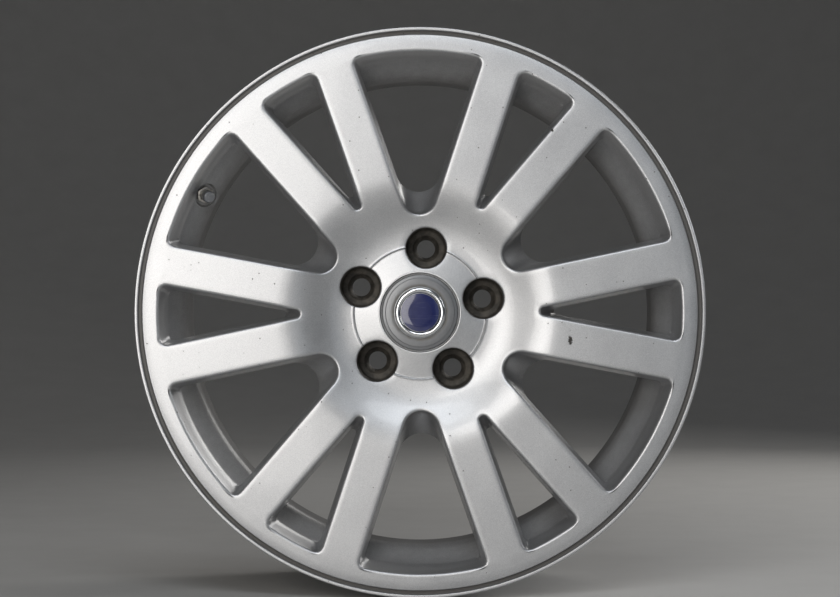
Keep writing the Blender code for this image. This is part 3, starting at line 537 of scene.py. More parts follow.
# Geometry Nodes tree that turns a sector round the axle and welds the copies together.
def turning_tree():
    tree = bpy.data.node_groups.new("turn round the axle", "GeometryNodeTree")
    face = tree.interface
    face.new_socket("Sector", in_out="INPUT", socket_type="NodeSocketGeometry")
    for name, kind in (("Copies", "NodeSocketInt"), ("Phase", "NodeSocketFloat"),
                       ("Weld", "NodeSocketFloat"), ("Finish", "NodeSocketMaterial")):
        face.new_socket(name, in_out="INPUT", socket_type=kind)
    face.new_socket("Whole", in_out="OUTPUT", socket_type="NodeSocketGeometry")
    nodes, links = tree.nodes, tree.links
    given, whole = nodes.new("NodeGroupInput"), nodes.new("NodeGroupOutput")
    line = nodes.new("GeometryNodeMeshLine")
    line.inputs["Offset"].default_value = (0, 0, 0)
    step = nodes.new("ShaderNodeMath")
    step.operation = "DIVIDE"
    step.inputs[0].default_value = math.tau
    index = nodes.new("GeometryNodeInputIndex")
    turn = nodes.new("ShaderNodeMath")
    turn.operation = "MULTIPLY_ADD"
    euler = nodes.new("ShaderNodeCombineXYZ")
    put = nodes.new("GeometryNodeInstanceOnPoints")
    real = nodes.new("GeometryNodeRealizeInstances")
    weld = nodes.new("GeometryNodeMergeByDistance")
    paint = nodes.new("GeometryNodeSetMaterial")
    links.new(given.outputs["Copies"], line.inputs["Count"])
    links.new(given.outputs["Copies"], step.inputs[1])
    links.new(index.outputs[0], turn.inputs[0])
    links.new(step.outputs[0], turn.inputs[1])
    links.new(given.outputs["Phase"], turn.inputs[2])
    links.new(turn.outputs[0], euler.inputs["Y"])
    links.new(line.outputs[0], put.inputs["Points"])
    links.new(given.outputs["Sector"], put.inputs["Instance"])
    links.new(euler.outputs[0], put.inputs["Rotation"])
    links.new(put.outputs[0], real.inputs[0])
    links.new(real.outputs[0], weld.inputs["Geometry"])
    links.new(given.outputs["Weld"], weld.inputs["Distance"])
    links.new(weld.outputs[0], paint.inputs["Geometry"])
    links.new(given.outputs["Finish"], paint.inputs["Material"])
    links.new(paint.outputs[0], whole.inputs["Whole"])
    return tree


def socket_of(tree, name):
    return next(s.identifier for s in tree.interface.items_tree
                if s.name == name and s.in_out == "INPUT")


def turned_round(piece, copies, phase, finish):
    """The piece repeated round the axle by the tree, as a plain welded mesh."""
    made = piece.modifiers.new("copies", "NODES")
    made.node_group = axle_tree
    for name, value in (("Copies", copies), ("Phase", -phase), ("Weld", 0.02 * MM), ("Finish", finish)):
        made[socket_of(axle_tree, name)] = value
    graph = bpy.context.evaluated_depsgraph_get()
    mesh = bpy.data.meshes.new_from_object(piece.evaluated_get(graph))
    piece.modifiers.remove(made)
    piece.data = mesh
    return mesh


axle_tree = turning_tree()


def zipped(first, second):
    """Triangles between two closed rings, each (radius, sorted angles, height)."""
    points = np.concatenate([
        from_polar(np.full(len(angles), radius), angles, np.full(len(angles), height))
        for radius, angles, height in (first, second)
    ])
    a, b = (np.append(ring[1], ring[1][0] + math.tau) for ring in (first, second))
    count_a, count_b = len(a) - 1, len(b) - 1
    faces, i, j = [], 0, 0
    while i < count_a or j < count_b:
        if j == count_b or (i < count_a and a[i + 1] <= b[j + 1]):
            faces.append((i, (i + 1) % count_a, count_a + j % count_b))
            i += 1
        else:
            faces.append((i % count_a, count_a + (j + 1) % count_b, count_a + j))
            j += 1
    return points, faces


def all_round(angles, copies, phase):
    steps = math.tau * np.arange(copies)[:, None] / copies
    return np.sort((np.asarray(angles)[None, :-1] + steps + phase).ravel() % math.tau)


def welded(name, pieces):
    """One object from several, with shared points merged and every face turned outwards."""
    work = bmesh.new()
    for piece in pieces:
        work.from_mesh(piece.data)
        bpy.data.objects.remove(piece, do_unlink=True)
    bmesh.ops.remove_doubles(work, verts=work.verts, dist=0.02 * MM)
    bmesh.ops.recalc_face_normals(work, faces=work.faces)
    mesh = bpy.data.meshes.new(name)
    work.to_mesh(mesh)
    work.free()
    made = bpy.data.objects.new(name, mesh)
    bpy.context.scene.collection.objects.link(made)
    return made


def smooth(piece, degrees=32):
    piece.data.shade_smooth()
    piece.data.set_sharp_from_angle(angle=math.radians(degrees))


class Term:
    """A value in a material; sums and products of it add Math nodes."""

    def __init__(self, look, socket):
        self.look, self.socket = look, socket

    def __add__(self, other):
        return self.look.math("ADD", self, other)

    def __sub__(self, other):
        return self.look.math("SUBTRACT", self, other)

    def __rsub__(self, other):
        return self.look.math("SUBTRACT", other, self)

    def __mul__(self, other):
        return self.look.math("MULTIPLY", self, other)

    def __truediv__(self, other):
        return self.look.math("DIVIDE", self, other)

    def __pow__(self, other):
        return self.look.math("POWER", self, other)

    def __neg__(self):
        return self.look.math("MULTIPLY", self, -1.0)

    __radd__, __rmul__ = __add__, __mul__


class Look:
    """One material and short ways to add nodes to it. Lengths in it are millimetres."""

    def __init__(self, name, **constants):
        self.material = bpy.data.materials.new(name)
        self.material.use_nodes = True
        self.tree = self.material.node_tree
        self.shader = self.tree.nodes["Principled BSDF"]
        self.feed(**constants)
        spot = self.node("ShaderNodeTexCoord", output="Object")
        self.spot = self.node("ShaderNodeVectorMath", {"operation": "SCALE"}, {0: spot, "Scale": 1000.0})
        self.x = self.node("ShaderNodeSeparateXYZ", {}, {0: self.spot}, "X")
        self.height = -self.node("ShaderNodeSeparateXYZ", {}, {0: self.spot}, "Y")
        self.z = self.node("ShaderNodeSeparateXYZ", {}, {0: self.spot}, "Z")
        self.radius = (self.x * self.x + self.z * self.z) ** 0.5

    def node(self, kind, settings=None, sockets=None, output=0):
        """Any node: its type, its settings, what goes into its sockets, and the output wanted."""
        made = self.tree.nodes.new(kind)
        for name, value in (settings or {}).items():
            setattr(made, name, value)
        for name, value in (sockets or {}).items():
            self.join(made.inputs[name], value)
        return Term(self, made.outputs[output])

    def join(self, socket, value):
        if isinstance(value, Term):
            self.tree.links.new(value.socket, socket)
        else:
            socket.default_value = value

    def math(self, operation, first, second=0.0):
        return self.node("ShaderNodeMath", {"operation": operation}, {0: first, 1: second})

    def noise(self, size, detail=3.0, place=None):
        """Noise from 0 to 1 whose features are about size across."""
        sockets = {"Vector": place or self.spot, "Scale": 1 / size, "Detail": detail}
        return self.node("ShaderNodeTexNoise", {}, {**sockets, "Roughness": 0.55}, 0)

    def step(self, value, low, high):
        """0 below low and 1 above high, smoothly; low may be the larger."""
        sockets = {"Value": value, "From Min": low, "From Max": high}
        return self.node("ShaderNodeMapRange", {"interpolation_type": "SMOOTHSTEP"}, sockets)

    def mix(self, factor, first, second):
        """Colours mixed by a factor."""
        sockets = {0: factor, 6: (*first, 1) if isinstance(first, tuple) else first}
        sockets[7] = (*second, 1) if isinstance(second, tuple) else second
        return self.node("ShaderNodeMix", {"data_type": "RGBA"}, sockets, 2)

    def bumped(self, height, depth, normal=None):
        """A bump of that depth from a height of 0 to 1."""
        sockets = {"Height": height, "Distance": depth * MM, "Strength": 1.0}
        if normal:
            sockets["Normal"] = normal
        return self.node("ShaderNodeBump", {}, sockets)

    def feed(self, **values):
        """What goes into the surface, by socket name with _ for a space."""
        for name, value in values.items():
            self.join(self.shader.inputs[name.replace("_", " ")], value)
        return self.material


def silver_lacquer(name, dust_and_shade_share):
    """Silver base coat with fine flakes under clear lacquer: clean on the face, darkened by
    brake dust and painted shade down the windows and behind, painted shade in the groove, a
    painted highlight along the step and the bezel, with a few stone chips and specks."""
    look = Look(name, Coat_Roughness=0.06, Coat_IOR=1.5)
    cell = look.node("ShaderNodeTexVoronoi", {}, {"Vector": look.spot, "Scale": 3.2}, "Color")
    flake = look.node("ShaderNodeSeparateColor", {}, {0: cell})
    patches = look.noise(38.0, 4.0)
    smears = look.noise(9.0, 5.0)
    tone = look.step(flake * 0.5 + patches * 0.5, 0.2, 0.8)
    silver = look.mix(tone, (0.50, 0.505, 0.52), (0.66, 0.665, 0.675))

    # Darker with depth down the windows and inside the barrel: brake dust and painted shade.
    depth = look.step(look.height + smears * 14.0, 97.0, 52.0)
    inward = look.step(look.radius, 222.0, 216.0)
    # The groove's floor is painted near black: painted shade.
    groove = look.step(look.math("ABSOLUTE", look.radius - GROOVE_R), GROOVE_FLOOR + 0.5, GROOVE_FLOOR - 0.1)
    groove_shade = groove * look.step(look.height, FACE_H - 0.3, FACE_H - 1.3)
    dust_and_shade = look.math("MAXIMUM", depth * inward * (0.5 + 0.45 * patches) * dust_and_shade_share, groove_shade * 0.9)
    # Painted highlight: near-white rings along the step's edge and the bezel.
    step_highlight = look.math("MAXIMUM", *(
        look.step(look.math("ABSOLUTE", look.radius - at), 0.8, 0.35) for at in (BOWL_IN + 0.6, BEZEL_R)))
    step_highlight = step_highlight * look.step(look.height, STEP_H - 1.0, STEP_H)
    highlighted = look.mix(step_highlight * (0.6 + 0.4 * smears), silver, (0.9, 0.905, 0.91))
    dusty_and_shaded = look.mix(dust_and_shade, highlighted, (0.085, 0.078, 0.07))

    ragged = look.noise(1.8, 3.0) * 2.6
    bare = None
    for x, z, wide, tall in ((124.1, -22.7, 1.2, 2.5), (103.5, 171.0, 1.1, 1.3), (109.2, 150.5, 0.9, 1.0),
                             (-171.0, 62.0, 0.8, 0.9), (-60.5, -122.0, 0.7, 0.9)):
        away = (((look.x - x) / wide) ** 2.0 + ((look.z - z) / tall) ** 2.0) ** 0.5
        chip = look.step(away + ragged, 3.0, 2.2)
        bare = chip if bare is None else look.math("MAXIMUM", bare, chip)
    cells = {"Vector": look.spot, "Scale": 0.16}
    shade = look.node("ShaderNodeTexVoronoi", {}, cells, "Color")
    chance = look.node("ShaderNodeSeparateColor", {}, {0: shade})
    speck = look.step(look.node("ShaderNodeTexVoronoi", {}, cells, "Distance"), 0.11, 0.06)
    bare = look.math("MAXIMUM", bare, speck * look.step(chance, 0.7, 0.72) * 0.8)
    chips = bare * look.step(look.height, 86.0, 90.0)
    colour = look.mix(chips, dusty_and_shaded, (0.05, 0.045, 0.04))

    peel = look.bumped(look.noise(2.4, 1.5), 0.012)
    cast = look.bumped(look.noise(1.1, 4.0) * depth, 0.10, peel)
    broken = look.bumped(1.0 - chips, 0.12, cast)
    return look.feed(
        Base_Color=colour,
        Metallic=0.88 - 0.75 * dust_and_shade - 0.8 * chips,
        Roughness=0.34 + 0.10 * patches + 0.05 * flake + 0.25 * dust_and_shade + 0.3 * chips,
        Coat_Weight=(0.55 - 0.5 * dust_and_shade) * (1.0 - chips),
        Normal=broken,
    )


def well_primer_and_shade():
    """Inside the lug wells: thin overspray on dark primer, with rust and grease from the bolts; the whole
    well's darkness is also painted shade.
    """
    look = Look("well_primer_and_shade", Metallic=0.25)
    stain = look.noise(6.0, 5.0)
    grit = look.noise(0.9, 3.0)
    shade = look.mix(look.step(stain, 0.35, 0.7), (0.055, 0.05, 0.043), (0.14, 0.125, 0.105))
    colour = look.mix(look.step(grit, 0.6, 0.75) * 0.5, shade, (0.22, 0.2, 0.18))
    return look.feed(Base_Color=colour, Roughness=0.48 + 0.25 * stain, Normal=look.bumped(grit, 0.05))


def machined_alloy():
    """Bare aluminium turned on a lathe: fine rings, dulled and stained by the hub."""
    look = Look("machined_alloy", Metallic=1.0)
    waver = look.noise(30.0, 2.0) * 1.5
    rings = look.math("SINE", (look.radius + look.height) * (math.tau / 0.55) + waver)
    stain = look.noise(11.0, 5.0)
    colour = look.mix(look.step(stain, 0.4, 0.75), (0.66, 0.655, 0.64), (0.34, 0.29, 0.24))
    return look.feed(
        Base_Color=colour,
        Roughness=0.26 + 0.22 * stain + 0.04 * rings,
        Normal=look.bumped(rings * 0.5 + 0.5, 0.015),
    )


# The number given to each sets how strongly brake dust and painted shade darken it inside the barrel.
lacquer, tyre_side = silver_lacquer("silver_lacquer", 1.0), silver_lacquer("tyre_side_silver", 0.25)
primer_and_shade, machined = well_primer_and_shade(), machined_alloy()
window_sector = new_piece("window_sector", *joined_points(window_parts))
lug_sector = new_piece("lug_sector", *joined_points(lug_parts))
turned_round(window_sector, PAIRS, PHASE, lacquer)
turned_round(lug_sector, LUGS, LUG_PHASE, lacquer)
spoke_angles = all_round(sector_angles, PAIRS, PHASE)
bolt_angles = all_round(lug_angles, LUGS, LUG_PHASE)
behind_r = float(hub_back_path[-2][0])
seams = new_piece("seams", *joined_points([
    zipped((HUB_SEAM_R, spoke_angles, float(face_height(HUB_SEAM_R))),
           (LUG_FRONT_R, bolt_angles, float(hub_height(LUG_FRONT_R)))),
    zipped((behind_r, spoke_angles, OFFSET), (73.0, bolt_angles, OFFSET)),
]))
casting = welded("wheel_casting", [window_sector, lug_sector, seams])

# The valve's place: a round pocket cut into the slope between the spokes, with a hole for the
# stem, a boss that thickens the wall round it, and a flat seat behind.
VALVE_TURN = math.radians(151.3)
VALVE_R = 205.0
VALVE_TILT = math.radians(25)
POCKET_R, POCKET_DEEP, SEAT_THICK = 9.75, 6.0, 4.0
VALVE_HOLE_R, FOOT_R = 5.65, 8.0
slope_h = WELL_FRONT + 4 + (VALVE_R - WELL_FLOOR_R) / WELL_SLOPE


def valve_place():
    """Local (x, height along the stem, y) of the valve to the scene, from its pocket's floor."""
    out = Vector((-math.sin(VALVE_TILT) * math.cos(VALVE_TURN), -math.cos(VALVE_TILT),
                  -math.sin(VALVE_TILT) * math.sin(VALVE_TURN)))
    mouth = Vector((VALVE_R * math.cos(VALVE_TURN), -slope_h, VALVE_R * math.sin(VALVE_TURN))) * MM
    floor = mouth - out * POCKET_DEEP * MM
    turn = Vector((0, -1, 0)).rotation_difference(out).to_matrix().to_4x4()
    return Matrix.Translation(floor) @ turn


def turned_solid(name, path, steps, radii=0.0, place=None):
    """A body turned about its own axis from (radius, height) points, closed at both ends."""
    path = [(max(r, 1e-6), h) for r, h in path]
    if np.ndim(radii) or radii:
        path = rounded(path, list(np.broadcast_to(radii, len(path) - 2)), 4)
    angles = np.linspace(0, math.tau, steps + 1)
    made = welded(name, [new_piece(name, *turned_strip(path, angles))])
    if place is not None:
        made.data.transform(place)
    return made


def cut(piece, tool, operation):
    made = piece.modifiers.new("cut", "BOOLEAN")
    made.operation, made.solver, made.object = operation, "EXACT", tool
    graph = bpy.context.evaluated_depsgraph_get()
    mesh = bpy.data.meshes.new_from_object(piece.evaluated_get(graph))
    piece.modifiers.remove(made)
    piece.data = mesh
    bpy.data.objects.remove(tool, do_unlink=True)


valve_at = valve_place()
boss_r = POCKET_R + 2.4
boss = turned_solid("boss", [(0, 5.2), (boss_r, 1.5), (boss_r, 0.5), (FOOT_R + 2, -SEAT_THICK - 0.5),
                             (0, -SEAT_THICK - 0.5)], 48, 0.0, valve_at)
cut(casting, boss, "UNION")
pocket = turned_solid("pocket", [
    (0, 40), (POCKET_R + 5, 40), (POCKET_R, 1.0), (POCKET_R - 0.9, 0), (VALVE_HOLE_R + 0.4, 0),
    (VALVE_HOLE_R, -0.4), (VALVE_HOLE_R, -SEAT_THICK), (FOOT_R + 1, -SEAT_THICK),
    (FOOT_R + 1, -18), (0, -18),
], 48, 0.0, valve_at)
cut(casting, pocket, "DIFFERENCE")
smooth(casting)


def surface_finishes(piece):
    """Bare metal on the mounting pad and bore, dark primer with painted shade in the lug wells, and
    paint with less brake dust and painted shade on the side of the barrel that the tyre covers."""
    mesh = piece.data
    mesh.materials.clear()
    for look in (lacquer, primer_and_shade, machined, tyre_side):
        mesh.materials.append(look)
    centres = np.empty(len(mesh.polygons) * 3)
    mesh.polygons.foreach_get("center", centres)
    x, y, z = centres.reshape(-1, 3).T / MM
    radius, height = np.hypot(x, z), -y
    away = np.full(len(x), 1e9)
    for k in range(LUGS):
        angle = LUG_PHASE + math.tau * k / LUGS
        away = np.minimum(away, np.hypot(x - LUG_R * math.cos(angle), z - LUG_R * math.sin(angle)))
    normals = np.empty(len(mesh.polygons) * 3)
    mesh.polygons.foreach_get("normal", normals)
    across, _, up = normals.reshape(-1, 3).T
    outward = (across * x + up * z) / radius
    finish = np.where((outward > 0.05) & (radius > WELL_R - 1) & (height < HALF_RIM), 3, 0)
    # The lug wells take the dark primer with painted shade.
    finish[(away < lip) & (height < hub_height(radius) - LIP_ROUND * 0.9) & (height > LAND_H - 0.3)] = 1
    finish[(away < LUG_SEAT + 0.2) & (height < LAND_H + 0.1) & (height > OFFSET + 3)] = 1
    finish[(radius < 33.5) & (height < OFFSET + 17)] = 2
    finish[(radius < 74.5) & (np.abs(height - OFFSET) < 0.1)] = 2
    mesh.polygons.foreach_set("material_index", finish)


surface_finishes(casting)
spokes = [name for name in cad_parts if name.startswith("spoke_")]
rings = [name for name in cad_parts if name.startswith("rim_")]
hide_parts("hub", *rings, *spokes)
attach(casting, "wheel")

# The centre cap: moulded plastic painted satin grey, a shallow dome with a recess for its badge.
# Six sprung legs behind it snap past a ledge in the bore, pushed out by a wire ring.
LEG_R = CAP_BORE_R - 0.4
LEG_LENGTH = 15.0
LEG_SLOT = 7.0
wire_low, wire_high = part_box("cap_spring_ring")
WIRE_H = -(wire_low.y + wire_high.y) / 2 / MM
WIRE_R = (wire_high.y - wire_low.y) / 2 / MM
WIRE_RING_R = wire_high.x / MM - WIRE_R
plate_low, plate_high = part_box("emblem_plate")
PLATE_R = plate_high.x / MM
PLATE_TOP, PLATE_FLOOR = -plate_low.y / MM, -plate_high.y / MM - 0.3
CAP_TOP = CAP_SEAT_H + 6.5


def satin_grey():
    """Satin grey paint on plastic, with dust and painted shade in its corner round the badge."""
    look = Look("cap_satin_grey", Metallic=0.55, Coat_Weight=0.35, Coat_Roughness=0.12)
    dust_and_shade = look.noise(5.0, 5.0)
    grain = look.noise(0.5, 2.0)
    # Darker brownish ring in the corner round the badge: painted shade, made patchy by dust.
    badge_corner_shade = look.step(look.math("ABSOLUTE", look.radius - (PLATE_R + 0.8)), 2.2, 0.2)
    shade = look.mix(dust_and_shade * 0.5 + grain * 0.3, (0.19, 0.195, 0.205), (0.31, 0.315, 0.325))
    colour = look.mix(badge_corner_shade * look.step(dust_and_shade, 0.3, 0.6) * 0.7, shade, (0.16, 0.145, 0.125))
    return look.feed(
        Base_Color=colour,
        Roughness=0.30 + 0.12 * dust_and_shade + 0.2 * badge_corner_shade,
        Normal=look.bumped(grain, 0.012, look.bumped(look.noise(3.0, 1.0), 0.02)),
    )


satin = satin_grey()
shell = turned_solid("cap_face", [
    (0, PLATE_FLOOR), (PLATE_R + 0.3, PLATE_FLOOR), (PLATE_R + 0.3, PLATE_TOP + 0.1),
    (CAP_R - 3.2, CAP_TOP + 0.1), (CAP_R - 2.6, CAP_TOP - 0.3), (CAP_R - 0.3, CAP_TOP - 0.6),
    (CAP_R, CAP_TOP - 2.4), (CAP_R, CAP_SEAT_H + 0.3), (LEG_R, CAP_SEAT_H + 0.3),
    (LEG_R - 0.3, CAP_SEAT_H - 1.0), (LEG_R - 2.6, CAP_SEAT_H - 1.0), (LEG_R - 3.2, CAP_TOP - 4.5),
    (0, CAP_TOP - 4.5),
], 120, [0.3, 0.15, 0.5, 0.4, 0.6, 1, 0.4, 0.3, 0.3, 0.4, 0.6])
leg_side = rounded([
    (LEG_R - 2.6, CAP_SEAT_H - 0.8), (LEG_R, CAP_SEAT_H - 0.8), (LEG_R, WIRE_H + WIRE_R + 0.3),
    (WIRE_RING_R - WIRE_R - 0.3, WIRE_H + WIRE_R + 0.3), (WIRE_RING_R - WIRE_R - 0.3, WIRE_H - WIRE_R - 0.3),
    (LEG_R, WIRE_H - WIRE_R - 0.3), (LEG_R - 1.4, CAP_SEAT_H - LEG_LENGTH),
    (LEG_R - 3.0, CAP_SEAT_H - LEG_LENGTH), (LEG_R - 2.6, CAP_SEAT_H - 0.8),
], [0, 0.2, 0.4, 0.4, 0.3, 0.5, 0.5], 3)[:-1]
leg_half = math.radians(30) - math.asin(LEG_SLOT / 2 / LEG_R)
leg_rows = [
    from_polar(leg_side[:, 0], np.full(len(leg_side), angle), leg_side[:, 1])
    for angle in np.linspace(-leg_half, leg_half, 11)
]
leg_points, leg_quads = lofted(leg_rows)
last_row = len(leg_points) - len(leg_side)
leg_quads += [tuple(range(len(leg_side)))[::-1], tuple(range(last_row, len(leg_points)))]
legs = new_piece("cap_legs", leg_points, leg_quads)
turned_round(legs, 6, math.radians(30), satin)
cap_body = welded("cap_body", [shell, legs])
cap_body.data.materials.append(satin)
smooth(cap_body, 38)
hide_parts("cap_shell")
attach(cap_body, "centre_cap")


def drawn_steel():
    """Bright drawn spring wire with faint die lines and some tarnish."""
    look = Look("drawn_steel", Metallic=1.0)
    tarnish = look.noise(2.5, 4.0)
    colour = look.mix(tarnish, (0.55, 0.55, 0.56), (0.36, 0.34, 0.32))
    return look.feed(Base_Color=colour, Roughness=0.22 + 0.25 * tarnish,
                     Normal=look.bumped(look.noise(0.25, 2.0), 0.01))


steel = drawn_steel()
WIRE_GAP = math.radians(4)
wire_turn = np.linspace(WIRE_GAP, math.tau - WIRE_GAP, 97)
wire_side = np.array([(math.cos(a), math.sin(a)) for a in np.linspace(0, math.tau, 13)[:-1]]) * WIRE_R
wire_rows = [
    from_polar(WIRE_RING_R + wire_side[:, 0], np.full(12, angle), WIRE_H + wire_side[:, 1])
    for angle in wire_turn
]
wire_points, wire_quads = lofted(wire_rows)
wire_quads += [tuple(range(12))[::-1], tuple(range(len(wire_points) - 12, len(wire_points)))]
wire = welded("cap_wire_ring", [new_piece("wire", wire_points, wire_quads)])
wire.data.materials.append(steel)
smooth(wire, 50)
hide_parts("cap_spring_ring")
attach(wire, "centre_cap")

# The badge: a disc of spun metal in the cap's recess, a raised chrome ring glued on it, and
# a plain dark blue enamel disc inside the ring.
ring_low, ring_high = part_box("emblem_ring")
BADGE_R = ring_high.x / MM
BADGE_LOW, BADGE_TOP = PLATE_TOP, -ring_low.y / MM
BADGE_IN = BADGE_R - 5.0
BADGE_MID = (BADGE_R + BADGE_IN) / 2
DISC_TOP = -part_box("emblem_disc")[0].y / MM


def spun_metal():
    """Fine circular brushing under a tinted lacquer."""
    look = Look("badge_spun_metal", Metallic=0.8, Coat_Weight=0.6, Coat_Roughness=0.05)
    lines = look.noise(0.35, 2.0, look.node(
        "ShaderNodeCombineXYZ", {}, {"X": look.radius, "Y": look.math("ARCTAN2", look.z, look.x)}))
    fade = look.step(look.radius, BADGE_R - 2, PLATE_R)
    colour = look.mix(lines * 0.6 + fade * 0.3, (0.36, 0.37, 0.38), (0.55, 0.56, 0.57))
    return look.feed(Base_Color=colour, Roughness=0.24 + 0.16 * lines, Normal=look.bumped(lines, 0.006))


def bright_chrome():
    """Chrome plate on plastic, slightly hazed and speckled by age."""
    look = Look("badge_chrome", Metallic=1.0)
    haze = look.noise(4.0, 4.0)
    pits = look.step(look.noise(0.7, 2.0), 0.68, 0.78)
    colour = look.mix(pits * 0.6, (0.86, 0.87, 0.88), (0.45, 0.42, 0.38))
    return look.feed(Base_Color=colour, Roughness=0.06 + 0.10 * haze + 0.3 * pits,
                     Normal=look.bumped(haze, 0.02))


def blue_enamel():
    """Dark blue glassy enamel, a little cloudy, with fine scratches."""
    look = Look("badge_blue_enamel", Coat_Weight=1.0, Coat_Roughness=0.04)
    cloud = look.noise(7.0, 3.0)
    scratch = look.step(look.noise(0.8, 1.0, look.node(
        "ShaderNodeMapping", {}, {"Vector": look.spot, "Rotation": (0, 0.7, 0), "Scale": (0.06, 1, 1.6)})),
        0.66, 0.72)
    colour = look.mix(cloud, (0.008, 0.013, 0.085), (0.02, 0.03, 0.16))
    return look.feed(Base_Color=look.mix(scratch * 0.12, colour, (0.2, 0.22, 0.3)),
                     Roughness=0.16 + 0.12 * cloud + 0.2 * scratch, Normal=look.bumped(cloud, 0.05))


def badge_piece(name, path, radii, finish, slot, *stands_for):
    made = turned_solid(name, path, 96, radii)
    made.data.materials.append(finish)
    smooth(made, 40)
    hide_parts(*stands_for)
    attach(made, "centre_cap")


badge_piece("badge_plate", [
    (0, PLATE_TOP), (PLATE_R - 2.2, PLATE_TOP), (PLATE_R - 1.6, PLATE_TOP - 0.25), (PLATE_R - 1.2, PLATE_TOP),
    (PLATE_R, PLATE_TOP - 0.05), (PLATE_R, PLATE_FLOOR + 0.05), (0, PLATE_FLOOR + 0.05),
], [0.2, 0.2, 0.2, 0.15, 0.1], spun_metal(), "cap_paint", "emblem_plate")
half_round = [
    (BADGE_MID + 2.45 * math.cos(a), BADGE_LOW + 0.1 + (BADGE_TOP - BADGE_LOW - 0.1) * math.sin(a))
    for a in np.linspace(math.pi, 0, 21)
]
ring_side = [(BADGE_IN, BADGE_LOW), *half_round, (BADGE_R, BADGE_LOW), (BADGE_IN, BADGE_LOW)]
badge_piece("badge_ring", ring_side, 0.0, bright_chrome(), "emblem_chrome", "emblem_ring")
badge_piece("badge_disc", [
    (0, DISC_TOP), (BADGE_IN * 0.6, DISC_TOP - 0.12), (BADGE_IN - 0.35, DISC_TOP - 0.35),
    (BADGE_IN - 0.3, PLATE_TOP + 0.02), (0, PLATE_TOP + 0.02),
], [8, 0.25, 0.05], blue_enamel(), "emblem_enamel", "emblem_disc")

# The valve: a clamp-in stem of nickel-plated brass held by a hexagon nut on a rubber grommet,
# with its brass core inside and a knurled cap over it. Threads are drawn as close rings.
stem_top, nut_flats, nut_height = 13.0, 13.0, 4.2
STEM_R, TIP_R, CORE_R, CHANNEL_R = 4.1, 3.85, 2.4, 1.1
foot_top = -SEAT_THICK - 2.1


def nickel_plate():
    """Satin nickel plate, dull in the threads and stained at the foot."""
    look = Look("valve_nickel_plate", Metallic=1.0)
    stain = look.noise(2.0, 4.0)
    colour = look.mix(look.step(stain, 0.4, 0.7), (0.62, 0.60, 0.56), (0.40, 0.37, 0.33))
    return look.feed(Base_Color=colour, Roughness=0.24 + 0.25 * stain,
                     Normal=look.bumped(look.noise(0.3, 2.0), 0.008))


def anodised_grey():
    """Grey anodised aluminium, rubbed brighter in places."""
    look = Look("cap_anodised_grey", Metallic=0.9)
    rub = look.step(look.noise(1.6, 4.0), 0.5, 0.7)
    colour = look.mix(rub, (0.30, 0.31, 0.33), (0.52, 0.52, 0.53))
    return look.feed(Base_Color=colour, Roughness=0.42 - 0.14 * rub,
                     Normal=look.bumped(look.noise(0.2, 2.0), 0.008))


def turned_brass():
    """Machined brass with tool rings, slightly tarnished."""
    look = Look("turned_brass", Metallic=1.0)
    tarnish = look.noise(1.2, 4.0)
    colour = look.mix(tarnish, (0.78, 0.60, 0.30), (0.45, 0.31, 0.14))
    return look.feed(Base_Color=colour, Roughness=0.22 + 0.2 * tarnish,
                     Normal=look.bumped(look.noise(0.15, 1.0), 0.006))


def moulded_rubber():
    """Black moulded rubber, greyed by dust and slightly grained."""
    look = Look("moulded_rubber", Specular_IOR_Level=0.35)
    bloom = look.noise(1.5, 5.0)
    colour = look.mix(look.step(bloom, 0.45, 0.75), (0.018, 0.018, 0.018), (0.07, 0.066, 0.06))
    return look.feed(Base_Color=colour, Roughness=0.62 + 0.25 * bloom,
                     Normal=look.bumped(look.noise(0.25, 3.0), 0.02))


def ringed(radius, depth, low, high, pitch):
    """Sides of a thread from low to high as (radius, height) points."""
    turns = int((high - low) / pitch)
    points = []
    for i in range(turns):
        start = low + i * pitch
        points += [(radius, start + 0.15 * pitch), (radius - depth, start + 0.6 * pitch)]
    return points


def valve_piece(made, finish, body, slot, *stands_for):
    made.data.materials.clear()
    made.data.materials.append(finish)
    smooth(made, 40)
    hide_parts(*stands_for)
    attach(made, body)


stem_side = [
    (CHANNEL_R, foot_top - 2.2), (FOOT_R - 1, foot_top - 2.2), (FOOT_R, foot_top - 1.2), (FOOT_R, foot_top),
    (STEM_R, foot_top), *ringed(STEM_R, 0.4, 0.0, 5.2, 0.75), (STEM_R, 5.1), (TIP_R, 5.5),
    *ringed(TIP_R, 0.3, 5.9, stem_top - 0.6, 0.794), (TIP_R, stem_top - 0.5), (TIP_R - 0.5, stem_top),
    (CORE_R, stem_top), (CORE_R, -1.4), (CHANNEL_R, -1.4), (CHANNEL_R, foot_top - 2.2),
]
nickel = nickel_plate()
stem = turned_solid("valve_stem_threaded", stem_side, 40, 0.0, valve_at)
valve_piece(stem, nickel, "wheel", "valve_nickel", "valve_stem")

nut_turns = np.linspace(0, math.tau, 73)[:-1]
flat_r = nut_flats / 2
hexagon = flat_r / np.cos((nut_turns + math.pi / 6) % (math.pi / 3) - math.pi / 6)
nut_low, nut_top = 0.3, 0.3 + nut_height
nut_bore = np.full(72, STEM_R + 0.3)
chamfer_r = np.minimum(hexagon, flat_r - 0.1)
fall = np.maximum(hexagon - flat_r, 0) * math.tan(math.radians(30))
nut_rows = [
    from_polar(radius, nut_turns, np.broadcast_to(height, 72)) for radius, height in (
        (nut_bore, nut_top - 0.5), (nut_bore + 0.4, nut_top), (chamfer_r, nut_top),
        (hexagon, nut_top - 0.1 - fall), (hexagon, nut_low + 0.9), (hexagon, nut_low + 0.1),
        (hexagon - 0.1, nut_low), (nut_bore, nut_low), (nut_bore, nut_top - 0.5))
]
nut = welded("valve_hexagon_nut", [new_piece("nut", *joined_points([lofted(nut_rows)]))])
nut.data.transform(valve_at)
valve_piece(nut, nickel, "wheel", "valve_nickel", "valve_nut")

